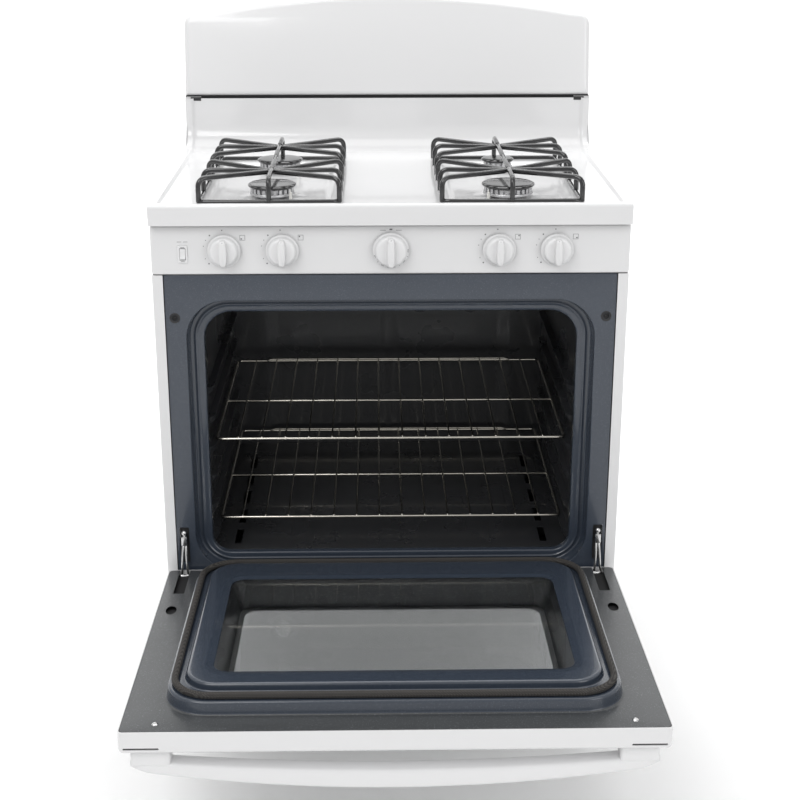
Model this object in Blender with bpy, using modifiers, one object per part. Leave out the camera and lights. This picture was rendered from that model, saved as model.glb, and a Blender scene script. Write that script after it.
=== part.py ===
"""A freestanding gas range, standing on its four levelling legs with its oven door open.

Metres, +Z up, +X to the range's right as it is faced, and the door at the -Y side. The origin is on the
floor under the middle of the range's box. Sub-assemblies are measured from the control panel's face, where
`range_origin` stands, and the door is modelled shut, then swung open by `door_pivot`, the empty on its axis.
"""

from math import cos, pi, radians, sin

import bmesh
import bpy
from mathutils import Matrix, Vector

# Driving dimensions
HALF_WIDTH = 0.381  # 30 inch range
DEPTH = 0.632  # control panel's face to the back
FRONT_Y = -0.05033  # the control panel's face, from the middle of the box with the door open
COOKTOP_Z = 0.914
DECK_Z = 0.910
PANEL_BOTTOM_Z = 0.798
COOKTOP_BOTTOM_Z = 0.880
BACKGUARD_Z = (1.008, 1.158, 1.190)  # lower edge, top corners, top of the arch
SHEET = 0.0015
FIT = 0.0004  # clearance between pieces that touch

RISER_Y = 0.511
BURNER_X = 0.192
BURNER_Y = (0.088, 0.306)
CAP_RADIUS = {"left_front": 0.0395, "left_rear": 0.040, "right_front": 0.0435, "right_rear": 0.029}
GRATE_HALF = (0.111, 0.187)
GRATE_TOP_Z = 0.955

KNOB_Z = 0.838
KNOB_X = {"left_outer": -0.264, "left_inner": -0.172, "oven": 0.0, "right_inner": 0.172,
          "right_outer": 0.264}
KNOB_RADIUS = {"burner": 0.0265, "oven": 0.029}

OPENING = (0.3050, 0.298, 0.728)  # half width, bottom and top of the oven's mouth
# Radii: the lower corners are tighter, so that the low rack slides out past them
MOUTH_CORNERS = (0.0465, 0.030)
RECESS = (0.3275, 0.279, 0.750)  # the seat for the door's gasket
FRAME_FACE_Y = 0.004
SEAT_Y = 0.028
CAVITY_HALF = 0.3090
CAVITY_BACK = 0.556
CAVITY_Z = (0.248, 0.745)
FLOOR_PANEL_Z = 0.290
RACK_HALF = 0.3020
LEDGE_DEPTH = 0.011
RACK_LEVELS = [0.322 + 0.0533 * level for level in range(6)]
RACKS = {"lower_rack": (RACK_LEVELS[0], 0.117), "upper_rack": (RACK_LEVELS[3], 0.089)}
RACK_DEPTH = 0.428
RACK_WIRES = (14, 0.0403)  # how many, and their pitch

DOOR_Z = (0.265, 0.792)
DOOR_FACE_Y = -0.037
DOOR_FLANGE_Y = -0.004
DOOR_HALF = 0.378
PIVOT = (-0.012, 0.273)  # y and z of the door hinge's axis
DOOR_TILT = radians(2.2)  # how far short of level the open door stops
HINGE_X = 0.350
PLATEAU = (0.3215, 0.282, 0.7450)  # half width, bottom and top of the inner panel's raised border
PLATEAU_Y = 0.0155
PLUG = (0.2960, 0.304, 0.7140)  # half width, bottom and top of the part that faces the oven's mouth
PLUG_Y = 0.0265  # low enough for the lower rack to slide out over the open door
WINDOW = (0.260, 0.366, 0.675)
GASKET = (0.3120, 0.290, 0.7365)  # the middle of the gasket's bar

SWITCH_X, SWITCH_Z = -0.330, 0.832
DRAWER_Z = (0.060, 0.2425)
LEG_PLACES = {"front_left": (-0.345, 0.060), "front_right": (0.345, 0.060),
              "rear_left": (-0.345, 0.570), "rear_right": (0.345, 0.570)}

# Colour, metallic, roughness
PAINTS = {
    "white_enamel": ((0.86, 0.86, 0.87), 0.0, 0.18),
    "white_plastic": ((0.84, 0.84, 0.85), 0.0, 0.32),
    "blue_enamel": ((0.045, 0.058, 0.082), 0.0, 0.22),
    "oven_enamel": ((0.030, 0.031, 0.035), 0.0, 0.35),
    "black_enamel": ((0.012, 0.012, 0.013), 0.0, 0.15),
    "steel": ((0.42, 0.42, 0.43), 1.0, 0.38),
    "chrome": ((0.72, 0.71, 0.69), 1.0, 0.16),
    "aluminium": ((0.66, 0.66, 0.67), 1.0, 0.42),
    "brass": ((0.62, 0.46, 0.20), 1.0, 0.30),
    "gasket": ((0.035, 0.032, 0.030), 0.0, 0.85),
    "glass": ((0.30, 0.32, 0.33), 0.0, 0.05),
    "grey_plastic": ((0.30, 0.30, 0.31), 0.0, 0.45),
}


def clear_scene():
    for obj in list(bpy.data.objects):
        bpy.data.objects.remove(obj)


def new_collection(name):
    made = bpy.data.collections.new(name)
    bpy.context.scene.collection.children.link(made)
    return made


clear_scene()
PARTS = new_collection("gas_range")
CUTTERS = new_collection("cutters")


def paint(name):
    """The Principled material of that name, made at its first use."""
    if name in bpy.data.materials:
        return bpy.data.materials[name]
    colour, metallic, roughness = PAINTS[name]
    made = bpy.data.materials.new(name)
    made.use_nodes = True
    shader = made.node_tree.nodes["Principled BSDF"]
    shader.inputs["Base Color"].default_value = (*colour, 1.0)
    shader.inputs["Metallic"].default_value = metallic
    shader.inputs["Roughness"].default_value = roughness
    return made


def new_empty(name, location, parent=None):
    made = bpy.data.objects.new(name, None)
    made.location = location
    made.parent = parent
    PARTS.objects.link(made)
    return made


RANGE = new_empty("range_origin", (0.0, FRONT_Y, 0.0))
DOOR = new_empty("door_pivot", (0.0, *PIVOT), RANGE)
DOOR.rotation_euler.x = pi / 2 - DOOR_TILT
DOOR_SHUT = (0.0, -PIVOT[0], -PIVOT[1])  # puts a mesh drawn with the door shut under the pivot


def part(name, mesh, finish, parent=RANGE, location=(0.0, 0.0, 0.0)):
    """One finished piece of the range."""
    made = bpy.data.objects.new(name, mesh)
    mesh.materials.append(paint(finish))
    made.parent = parent
    made.location = location
    PARTS.objects.link(made)
    return made


def helper(mesh, target):
    """A body that a Boolean uses, standing where its target stands."""
    made = bpy.data.objects.new(mesh.name, mesh)
    made.parent = target.parent
    made.location = target.location
    made.rotation_euler = target.rotation_euler
    made.hide_render = True
    made.display_type = "WIRE"
    CUTTERS.objects.link(made)
    return made


def boolean(target, mesh, operation):
    modifier = target.modifiers.new(operation.lower(), "BOOLEAN")
    modifier.operation = operation
    modifier.object = helper(mesh, target)
    return modifier.object


def cut(target, *meshes):
    for mesh in meshes:
        boolean(target, mesh, "DIFFERENCE")


def join(target, *meshes):
    for mesh in meshes:
        boolean(target, mesh, "UNION")


def bevelled(target, width, segments=2):
    modifier = target.modifiers.new("rounding", "BEVEL")
    modifier.width = width
    modifier.segments = segments
    modifier.limit_method = "ANGLE"
    return target


def finished(name, shape):
    """A mesh from a bmesh, with its seams welded and its faces pointing out."""
    bmesh.ops.remove_doubles(shape, verts=shape.verts, dist=1e-6)
    bmesh.ops.recalc_face_normals(shape, faces=shape.faces)
    if all(edge.is_manifold for edge in shape.edges) and shape.calc_volume(signed=True) < 0:
        bmesh.ops.reverse_faces(shape, faces=shape.faces)
    mesh = bpy.data.meshes.new(name)
    shape.to_mesh(mesh)
    shape.free()
    return mesh


def block(name, *boxes):
    """One or more boxes, each from its lowest to its highest corner."""
    shape = bmesh.new()
    for low, high in boxes:
        low, high = Vector(low), Vector(high)
        place = Matrix.Translation((low + high) / 2) @ Matrix.Diagonal((*(high - low), 1.0))
        bmesh.ops.create_cube(shape, size=1.0, matrix=place)
    return finished(name, shape)


def mirrored_boxes(low, high):
    """The box and its twin across the range's middle plane."""
    return [(low, high), ((-high[0], low[1], low[2]), (-low[0], high[1], high[2]))]


def rods(name, runs, radius, sides=12):
    """Straight round bars, each from its start to its end."""
    shape = bmesh.new()
    for start, end in runs:
        start, end = Vector(start), Vector(end)
        turn = (end - start).to_track_quat("Z", "Y").to_matrix().to_4x4()
        bmesh.ops.create_cone(shape, cap_ends=True, segments=sides, radius1=radius, radius2=radius,
                              depth=(end - start).length,
                              matrix=Matrix.Translation((start + end) / 2) @ turn)
    mesh = finished(name, shape)
    mesh.shade_smooth()
    mesh.set_sharp_from_angle(angle=radians(40))
    return mesh


def evaluated_mesh(obj):
    """The object's evaluated mesh, welded, in place of the object."""
    graph = bpy.context.evaluated_depsgraph_get()
    mesh = bpy.data.meshes.new_from_object(obj.evaluated_get(graph))
    name = obj.name
    bpy.data.objects.remove(obj)
    shape = bmesh.new()
    shape.from_mesh(mesh)
    return finished(name, shape)


def curve_object(name, points, cyclic, dimensions):
    curve = bpy.data.curves.new(name, "CURVE")
    curve.dimensions = dimensions
    spline = curve.splines.new("POLY")
    spline.points.add(len(points) - 1)
    for knot, place in zip(spline.points, points):
        knot.co = (*place, 1.0)
    spline.use_cyclic_u = cyclic
    made = bpy.data.objects.new(name, curve)
    CUTTERS.objects.link(made)
    return made


def tray(name, low, high, rounding, finish, parent=RANGE, location=(0.0, 0.0, 0.0)):
    """A pressed sheet, rounded at its face, with its edges turned back and its back open."""
    deep = high[1] + 3 * rounding
    made = bevelled(part(name, block(name, (low, (high[0], deep, high[2]))), finish, parent, location),
                    rounding)
    beyond = 0.01
    cut(made, block(name + "_back", ((low[0] - beyond, high[1], low[2] - beyond),
                                     (high[0] + beyond, deep + beyond, high[2] + beyond))))
    inside = block(name + "_hollow", ((low[0] + SHEET, low[1] + SHEET, low[2] + SHEET),
                                      (high[0] - SHEET, deep, high[2] - SHEET)))
    bevelled(boolean(made, inside, "DIFFERENCE"), rounding - SHEET)
    return made


AXIS_TURN = {
    "X": Matrix(((0, 0, 1, 0), (1, 0, 0, 0), (0, 1, 0, 0), (0, 0, 0, 1))),
    "Y": Matrix(((1, 0, 0, 0), (0, 0, -1, 0), (0, 1, 0, 0), (0, 0, 0, 1))),
    "Z": Matrix.Identity(4),
}


def extruded(name, outline, axis, start, end):
    """A flat outline made solid from start to end along an axis, its own two axes taking the others' order."""
    obj = curve_object(name, [(u, v, 0.0) for u, v in outline], True, "2D")
    obj.data.fill_mode = "BOTH"
    obj.data.extrude = (end - start) / 2
    mesh = evaluated_mesh(obj)
    middle = Vector([(start + end) / 2 if letter == axis else 0.0 for letter in "XYZ"])
    mesh.transform(Matrix.Translation(middle) @ AXIS_TURN[axis])
    return mesh


def wire(name, points, radius, cyclic=False, bevel=1):
    """A round bar bent along the points."""
    obj = curve_object(name, points, cyclic, "3D")
    obj.data.bevel_depth = radius
    obj.data.bevel_resolution = bevel
    obj.data.use_fill_caps = True
    mesh = evaluated_mesh(obj)
    mesh.shade_smooth()
    return mesh


def turned(name, profile, finish, parent=RANGE, location=(0.0, 0.0, 0.0), facing="Z", steps=20):
    """A piece turned about its own axis, from a profile that runs down its outer side."""
    mesh = bpy.data.meshes.new(name)
    mesh.from_pydata([(radius, 0.0, height) for radius, height in profile],
                     [(index, index + 1) for index in range(len(profile) - 1)], [])
    made = part(name, mesh, finish, parent, location)
    if facing == "Y":
        made.rotation_euler.x = pi / 2  # the profile's top then faces -Y
    screw = made.modifiers.new("turning", "SCREW")
    screw.steps = screw.render_steps = steps
    screw.use_merge_vertices = True
    screw.merge_threshold = 1e-5
    return made


def rounded_rectangle(half, bottom, top, radius, steps=4, low_radius=None):
    """The outline of a rectangle with round corners, centred on the first axis."""
    points = []
    top_radius = radius
    for turn, (side, level) in enumerate(((1, top), (-1, top), (-1, bottom), (1, bottom))):
        radius = low_radius if low_radius and level == bottom else top_radius
        middle = (side * (half - radius), level - radius if level == top else level + radius)
        for step in range(steps + 1):
            angle = pi / 2 * (turn + step / steps)
            points.append((middle[0] + radius * cos(angle), middle[1] + radius * sin(angle)))
    return points


def sheet_outline(path, thickness):
    """The outline of a bent sheet: the path, and back again offset to its right."""
    offsets = []
    for index, point in enumerate(path):
        before = Vector(path[max(index - 1, 0)])
        after = Vector(path[min(index + 1, len(path) - 1)])
        to_point, from_point = Vector(point) - before, after - Vector(point)
        lean_in = to_point.normalized() if to_point.length else from_point.normalized()
        lean_out = from_point.normalized() if from_point.length else lean_in
        normal = Vector((lean_in.y + lean_out.y, -lean_in.x - lean_out.x)).normalized()
        reach = thickness / max(normal.dot(Vector((lean_in.y, -lean_in.x))), 0.3)
        offsets.append(tuple(Vector(point) + normal * reach))
    return path + offsets[::-1]


def arc(centre, radius, start, end, steps):
    """Points on an arc between two angles in degrees."""
    angles = [radians(start + (end - start) * step / steps) for step in range(steps + 1)]
    return [(centre[0] + radius * cos(angle), centre[1] + radius * sin(angle)) for angle in angles]


def make_base():
    """The chassis: a ring of steel that the legs screw into, with a rail for each side of the drawer."""
    outer = HALF_WIDTH - SHEET - FIT
    base = part("base_frame", block("base_frame", ((-outer, 0.034, 0.030), (outer, 0.600, 0.058))), "steel")
    cut(base, block("base_middle", ((-0.318, 0.090, 0.020), (0.318, 0.545, 0.070))))
    join(base, block("drawer_rails", *mirrored_boxes((0.335, 0.040, 0.050), (0.350, 0.590, 0.076))))
    studs = [((x, y, 0.020), (x, y, 0.0535)) for x, y in LEG_PLACES.values()]
    cut(base, rods("stud_holes", studs, 0.005 + FIT))
    for place, (x, y) in LEG_PLACES.items():
        profile = [(0, 0.050), (0.005, 0.050), (0.005, 0.014), (0.014, 0.012), (0.019, 0.003), (0.019, 0),
                   (0, 0)]
        turned(f"leveling_leg_{place}", profile, "grey_plastic", location=(x, y, 0.0), steps=16)


def make_sides():
    """Each side is one bent sheet, with a flange beside the door and a notch behind the control panel."""
    flange = 0.3640
    for side, name in ((-1, "side_panel_left"), (1, "side_panel_right")):
        path = [(flange, 0.001), (HALF_WIDTH - 0.001, 0.001), (HALF_WIDTH, 0.002), (HALF_WIDTH, 0.6295),
                (HALF_WIDTH - SHEET, 0.6295), (HALF_WIDTH - SHEET, 0.001 + SHEET), (flange, 0.001 + SHEET)]
        outline = [(side * x, y) for x, y in path]
        sheet = part(name, extruded(name, outline, "Z", 0.030, COOKTOP_BOTTOM_Z - 0.002), "white_enamel")
        notch = sorted((side * 0.35, side * 0.40))
        cut(sheet, block(name + "_notch", ((notch[0], -0.01, PANEL_BOTTOM_Z - 0.001),
                                           (notch[1], 0.033, 0.9))))


def make_back():
    """The back sheet, and the regulator whose inlet comes through it."""
    outer = HALF_WIDTH - SHEET - FIT
    back = part("rear_panel", block("rear_panel", ((-outer, DEPTH - 0.0015, 0.060), (outer, DEPTH, 1.004))),
                "steel")
    cut(back, rods("inlet_hole", [((0.20, 0.62, 0.150), (0.20, 0.65, 0.150))], 0.016, 16))
    body = part("gas_regulator", block("gas_regulator", ((0.170, 0.575, 0.125), (0.230, 0.612, 0.175))),
                "aluminium")
    join(body, rods("inlet_pipe", [((0.20, 0.605, 0.150), (0.20, DEPTH - 0.001, 0.150))], 0.0105, 12))
    join(body, rods("regulator_cap", [((0.20, 0.590, 0.170), (0.20, 0.590, 0.190))], 0.014, 12))


def make_cooktop():
    """One enamelled pressing: front lip, rimmed deck with two wells, and a coved riser at the back."""
    cove = RISER_Y - 0.046
    path = [(-0.012, COOKTOP_BOTTOM_Z), *arc((-0.006, 0.908), 0.006, 180, 90, 3), (0.003, COOKTOP_Z),
            (0.009, DECK_Z), *arc((cove, DECK_Z + 0.046), 0.046, -90, 0, 5), (RISER_Y, 1.004)]
    skin = 0.002
    top = part("cooktop", extruded("cooktop", sheet_outline(path, skin), "X", -HALF_WIDTH, HALF_WIDTH),
               "white_enamel")
    rim = [(HALF_WIDTH, COOKTOP_BOTTOM_Z), (HALF_WIDTH, COOKTOP_Z - 0.002), (HALF_WIDTH - 0.002, COOKTOP_Z),
           (HALF_WIDTH - 0.013, COOKTOP_Z), (HALF_WIDTH - 0.018, DECK_Z - 0.001), (HALF_WIDTH - 0.018,
                                                                                   0.9065),
           (HALF_WIDTH - 0.002, 0.9065), (HALF_WIDTH - 0.002, COOKTOP_BOTTOM_Z)]
    for side in (-1, 1):
        outline = [(side * x, z) for x, z in rim]
        join(top, extruded(f"side_rim_{side}", outline, "Y", -0.0105, RISER_Y - 0.010))
    for side in (-1, 1):
        well = rounded_rectangle(0.099, BURNER_Y[0] - 0.062, BURNER_Y[1] + 0.062, 0.030)
        inner = rounded_rectangle(0.097, BURNER_Y[0] - 0.060, BURNER_Y[1] + 0.060, 0.028)
        shift = side * BURNER_X
        join(top, extruded(f"well_pan_{side}", [(x + shift, y) for x, y in well], "Z", 0.9005, 0.9092))
        cut(top, extruded(f"well_{side}", [(x + shift, y) for x, y in inner], "Z", 0.9025, 0.930))
    throats = [((side * BURNER_X, y, 0.89), (side * BURNER_X, y, 0.92)) for side in (-1,
                                                                                     1) for y in BURNER_Y]
    cut(top, rods("burner_holes", throats, 0.0205, 16))


def make_burners():
    """Four aluminium burner heads with enamelled caps, a small one at the right rear for simmering."""
    for name, cap_radius in CAP_RADIUS.items():
        side, row = name.split("_")
        place = (BURNER_X * (1 if side == "right" else -1), BURNER_Y[row == "rear"], 0.0)
        head = cap_radius - 0.005
        profile = [(0, 0.9225), (head - 0.003, 0.9225), (head, 0.9205), (head, 0.912),
                   (head - 0.006, 0.9095),
                   (0.022, 0.9035), (0.020, 0.9030), (0.020, 0.880), (0.014, 0.868), (0, 0.868)]
        turned(f"burner_head_{name}", profile, "aluminium", location=place)
        cap = [(0, 0.9290), (cap_radius - 0.004, 0.9285), (cap_radius, 0.9260),
               (cap_radius - 0.001, 0.9235),
               (cap_radius - 0.004, 0.9228), (0, 0.9228)]
        turned(f"burner_cap_{name}", cap, "black_enamel", location=place)


def finger(side, start_y, hub, drop):
    """A grate finger: up from the side rail, round the bend and in to the hub."""
    outer, top = side * GRATE_HALF[0], GRATE_TOP_Z - 0.0043 - drop
    run = (Vector((hub[0], hub[1])) - Vector((outer, start_y))).normalized() * 0.011
    return [(outer, start_y, 0.9145), (outer, start_y, top - 0.011),
            (outer + run.x * 0.3, start_y + run.y * 0.3, top - 0.003),
            (outer + run.x, start_y + run.y, top), (hub[0], hub[1], top - 0.002)]


def make_grates():
    """Each grate lies over a front and a rear burner: a wire base, and bent fingers that meet over them."""
    rail_z = DECK_Z + FIT + 0.0035
    middle_y = sum(BURNER_Y) / 2
    for side, name in ((-1, "grate_left"), (1, "grate_right")):
        half_x, half_y = GRATE_HALF
        base = [(x, y, rail_z) for x, y in rounded_rectangle(half_x, -half_y, half_y, 0.008, 2)]
        grate = part(name, wire(name, base, 0.0035, cyclic=True), "black_enamel",
                     location=(side * BURNER_X, middle_y, 0.0))
        top = GRATE_TOP_Z - 0.0043
        spine = [(0, -half_y, 0.9150), (0, -half_y, top - 0.011), (0, -half_y + 0.003, top - 0.003),
                 (0, -half_y + 0.011, top), (0, half_y - 0.011, top), (0, half_y - 0.003, top - 0.003),
                 (0, half_y, top - 0.011), (0, half_y, 0.9150)]
        join(grate, wire(name + "_spine", spine, 0.0040))
        for row, burner in enumerate(BURNER_Y):
            centre = burner - middle_y
            for hand in (-1, 1):
                for index, spread in enumerate((-1, 0, 1)):
                    outer_y = max(min(centre + spread * 0.083, half_y - 0.004), -half_y + 0.004)
                    hub = (-hand * 0.002, centre + spread * 0.012)
                    drop = 0.0005 + 0.0004 * index + 0.00015 * hand
                    points = finger(hand, outer_y, hub, drop)
                    join(grate, wire(f"{name}_finger_{row}{hand}{index}", points, 0.0042))


def make_control_panel():
    """The panel: a pressed tray with a hole for each stem and one for the oven light's switch."""
    panel = tray("control_panel", (-HALF_WIDTH, 0.0, PANEL_BOTTOM_Z),
                 (HALF_WIDTH, 0.030, COOKTOP_BOTTOM_Z - 0.002),
                 0.003, "white_enamel")
    holes = [((x, -0.01, KNOB_Z), (x, 0.01, KNOB_Z)) for x in KNOB_X.values()]
    cut(panel, rods("stem_holes", holes, 0.0065, 12))
    cut(panel, block("switch_hole", ((SWITCH_X - 0.0065, -0.01, SWITCH_Z - 0.0115),
                                     (SWITCH_X + 0.0065, 0.01, SWITCH_Z + 0.0115))))


def make_switch():
    """The oven light's switch: a housing through the panel, and a rocker on a pivot in its mouth."""
    housing = part("light_switch_housing", block("light_switch_housing",
                                                 ((SWITCH_X - 0.007, -0.0022, SWITCH_Z - 0.014),
                                                  (SWITCH_X + 0.007, -FIT,
                                                   SWITCH_Z + 0.014))), "white_plastic")
    join(housing, block("switch_body", ((SWITCH_X - 0.006, -0.001, SWITCH_Z - 0.011),
                                        (SWITCH_X + 0.006, 0.022, SWITCH_Z + 0.011))))
    cut(housing, block("switch_mouth", ((SWITCH_X - 0.0047, -0.01, SWITCH_Z - 0.0098),
                                        (SWITCH_X + 0.0047, 0.013, SWITCH_Z + 0.0098))))
    outline = [(-0.0088, 0.0050), (-0.0085, -0.0030), (0.0, -0.0012), (0.0085, -0.0030), (0.0088, 0.0050)]
    profile = [(depth, height) for height, depth in outline]
    rocker = part("light_switch_rocker", extruded("light_switch_rocker", profile, "X", -0.0042, 0.0042),
                  "white_plastic", location=(SWITCH_X, 0.0, SWITCH_Z))
    rocker.rotation_euler.x = radians(-8)


def make_gas_train():
    """The manifold pipe behind the panel, a valve for each burner, and the oven's thermostat."""
    manifold_y = 0.080
    part("gas_manifold", rods("gas_manifold", [((-0.345, manifold_y, KNOB_Z), (0.345, manifold_y, KNOB_Z))],
                              0.0105, 12),
         "steel")
    bore = 0.004 + FIT
    for name, x in KNOB_X.items():
        front, back = 0.024, manifold_y - 0.0105 - FIT
        if name == "oven":
            body = part("oven_thermostat", block("oven_thermostat", ((-0.030, front, KNOB_Z - 0.022),
                                                                     (0.030, back,
                                                                      KNOB_Z + 0.022))), "aluminium")
            bevelled(body, 0.003, 1)
            cut(body, rods("thermostat_bore", [((x, 0.0, KNOB_Z), (x, 0.048, KNOB_Z))], bore))
            continue
        depth = back - front
        profile = [(0, 0), (0.010, 0), (0.010, -0.010), (0.014, -0.012), (0.014, -depth + 0.004),
                   (0.008, -depth), (0, -depth)]
        body = turned(f"burner_valve_{name}", profile, "brass", location=(x, front, KNOB_Z), facing="Y",
                      steps=12)
        hole = rods(f"valve_bore_{name}", [((0, 0, 0.02), (0, 0, -0.024))], bore)
        cut(body, hole)


def make_knobs():
    """Each knob pushes in on its stem, then turns: a round skirt with a ridge to grip."""
    for name, x in KNOB_X.items():
        part(f"stem_{name}", rods(f"stem_{name}", [((0, -0.019, 0), (0, 0.042, 0))], 0.004, 12), "steel",
                    location=(x, 0.0, KNOB_Z))
        radius = KNOB_RADIUS["oven" if name == "oven" else "burner"]
        profile = [(0, 0.0190), (radius - 0.0065, 0.0185), (radius - 0.0045, 0.0170),
                   (radius - 0.003, 0.0085),
                   (radius, 0.0070), (radius, 0.0042), (0, 0.0042)]
        knob = turned(f"knob_{name}", profile, "white_plastic", location=(x, 0.0, KNOB_Z), facing="Y",
                      steps=24)
        ridge = block(f"ridge_{name}", ((-0.0055, -radius + 0.006, 0.010),
                                        (0.0055, radius - 0.006, 0.0300)))
        join(knob, ridge)
        cut(knob, rods(f"knob_bore_{name}", [((0, 0, 0.0), (0, 0, 0.0200))], 0.004 + FIT))


def make_backguard():
    """The arched back panel leans away from the cook, on a support at each end, with a cover behind."""
    bottom, corner, crown = BACKGUARD_Z
    half = HALF_WIDTH
    lean = 0.040 / (crown - bottom)
    radius = 0.020
    arch = []
    for step in range(13):
        x = (half - radius) * (1 - step / 6)
        arch.append((x, crown - (crown - corner) * (x / (half - radius)) ** 2))
    right = arc((half - radius, corner - radius), radius, 0, 70, 3)
    left = [(-x, z) for x, z in right[::-1]]
    outline = [(half, bottom), *right, *arch, *left, (-half, bottom)]
    shell = backguard_shell(outline, bottom, lean)
    part("backguard_panel", shell, "white_enamel")
    inside = [(x * 0.992, bottom + 0.003 + (z - bottom) * 0.965) for x, z in outline]
    part("backguard_rear_cover", extruded("backguard_rear_cover", inside, "Y", DEPTH - 0.005,
                                          DEPTH - 0.0035), "steel")
    for side, name in ((-1, "backguard_support_left"), (1, "backguard_support_right")):
        ends = sorted((side * (half - 0.0012), side * half))
        support = part(name, block(name, ((ends[0], RISER_Y + 0.0025, COOKTOP_BOTTOM_Z),
                                          (ends[1], DEPTH - 0.0020, bottom - 0.0006))), "white_enamel")
        foot = sorted((side * (half - 0.030), side * (half - 0.0006)))
        join(support, block(name + "_flange", ((foot[0], RISER_Y + 0.0025, COOKTOP_BOTTOM_Z + 0.0006),
                                               (foot[1], RISER_Y + 0.0040, bottom - 0.0012))))


def backguard_shell(outline, bottom, lean):
    """The front skin with its edge turned back: an open box whose front face leans."""
    shape = bmesh.new()
    rear = [shape.verts.new((x, DEPTH - 0.002, z)) for x, z in outline]
    face = shape.faces.new(rear)
    pushed = bmesh.ops.extrude_face_region(shape, geom=[face])
    for vert in [item for item in pushed["geom"] if isinstance(item, bmesh.types.BMVert)]:
        vert.co.y = RISER_Y + (vert.co.z - bottom) * lean
    bmesh.ops.delete(shape, geom=[item for item in shape.faces if item.calc_center_median().y > DEPTH - 0.003],
                     context="FACES_ONLY")
    mesh = finished("backguard_panel", shape)
    return thickened(mesh, SHEET)


def thickened(mesh, thickness):
    """The mesh of an open surface given a thickness inwards."""
    obj = bpy.data.objects.new(mesh.name, mesh)
    CUTTERS.objects.link(obj)
    solid = obj.modifiers.new("thickness", "SOLIDIFY")
    solid.thickness = thickness
    solid.offset = -1.0
    solid.use_even_offset = True
    bpy.context.view_layer.update()
    return evaluated_mesh(obj)


def make_oven():
    """The oven: front frame, liner with rack ledges, floor panel, burner tube and lamp."""
    half, low, high = OPENING
    wide, seat_low, seat_high = RECESS
    frame = part("oven_front_frame", block("oven_front_frame", ((-0.3634, FRAME_FACE_Y, 0.2455),
                                                                (0.3634, FRAME_FACE_Y + SHEET,
                                                                 0.7965))), "blue_enamel")
    cut(frame, block("hinge_slots", *mirrored_boxes((HINGE_X - 0.008, -0.01, 0.292),
                                                    (HINGE_X + 0.008, 0.02, 0.356))))
    cut(frame, rods("bumper_holes", [((side * 0.348, -0.01, 0.725),
                                      (side * 0.348, 0.02, 0.725)) for side in (-1, 1)],
                    0.005, 10))
    join(frame, extruded("seat_outer", rounded_rectangle(wide + SHEET, seat_low - SHEET, seat_high + SHEET,
                                                         0.0635),
                         "Y", FRAME_FACE_Y + 0.0006, SEAT_Y + SHEET))
    high_corner, low_corner = MOUTH_CORNERS
    collar = rounded_rectangle(half + SHEET, low - SHEET, high + SHEET, high_corner + SHEET,
                               low_radius=low_corner + SHEET)
    join(frame, extruded("collar", collar, "Y", SEAT_Y + 0.0006, SEAT_Y + 0.012))
    cut(frame, extruded("seat_inner", rounded_rectangle(wide, seat_low, seat_high, 0.062), "Y", -0.010,
                        SEAT_Y))
    mouth = rounded_rectangle(half, low, high, high_corner, low_radius=low_corner)
    cut(frame, extruded("mouth", mouth, "Y", SEAT_Y - 0.006, SEAT_Y + 0.024))

    front = SEAT_Y + SHEET + FIT
    wall = SHEET
    liner = part("oven_liner", block("oven_liner", ((-CAVITY_HALF - wall, front, CAVITY_Z[0] - wall),
                                                    (CAVITY_HALF + wall, CAVITY_BACK + wall,
                                                     CAVITY_Z[1] + wall))),
                 "oven_enamel")
    cut(liner, block("cavity", ((-CAVITY_HALF, 0.0, CAVITY_Z[0]), (CAVITY_HALF, CAVITY_BACK, CAVITY_Z[1]))))
    ledges = []
    for level in RACK_LEVELS:
        top = level - 0.0032 - FIT
        ledges += mirrored_boxes((CAVITY_HALF - LEDGE_DEPTH, 0.060, top - 0.005),
                                 (CAVITY_HALF + SHEET / 2, 0.520, top))
    join(liner, block("ledges", *ledges))

    floor_half = CAVITY_HALF - 0.001
    floor = part("oven_floor_panel", block("oven_floor_panel",
                                           ((-floor_half, front + 0.012, FLOOR_PANEL_Z - 0.002),
                                                                (floor_half, CAVITY_BACK - 0.001,
                                                                 FLOOR_PANEL_Z))),
                 "oven_enamel")
    slots = []
    for step in range(5):
        start = 0.080 + 0.085 * step
        slots += mirrored_boxes((0.262, start, 0.28), (0.274, start + 0.060, 0.30))
    cut(floor, block("floor_slots", *slots))
    part("oven_burner", rods("oven_burner", [((0, 0.100, 0.268), (0, CAVITY_BACK - 0.001, 0.268))], 0.013),
         "steel")
    lamp = [(0, 0.040), (0.010, 0.0385), (0.020, 0.032), (0.024, 0.022), (0.024, 0.012), (0.030, 0.010),
            (0.030, 0.0008), (0, 0.0008)]
    turned("oven_lamp", lamp, "glass", location=(-0.225, CAVITY_BACK, 0.690), facing="Y", steps=16)


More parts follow.
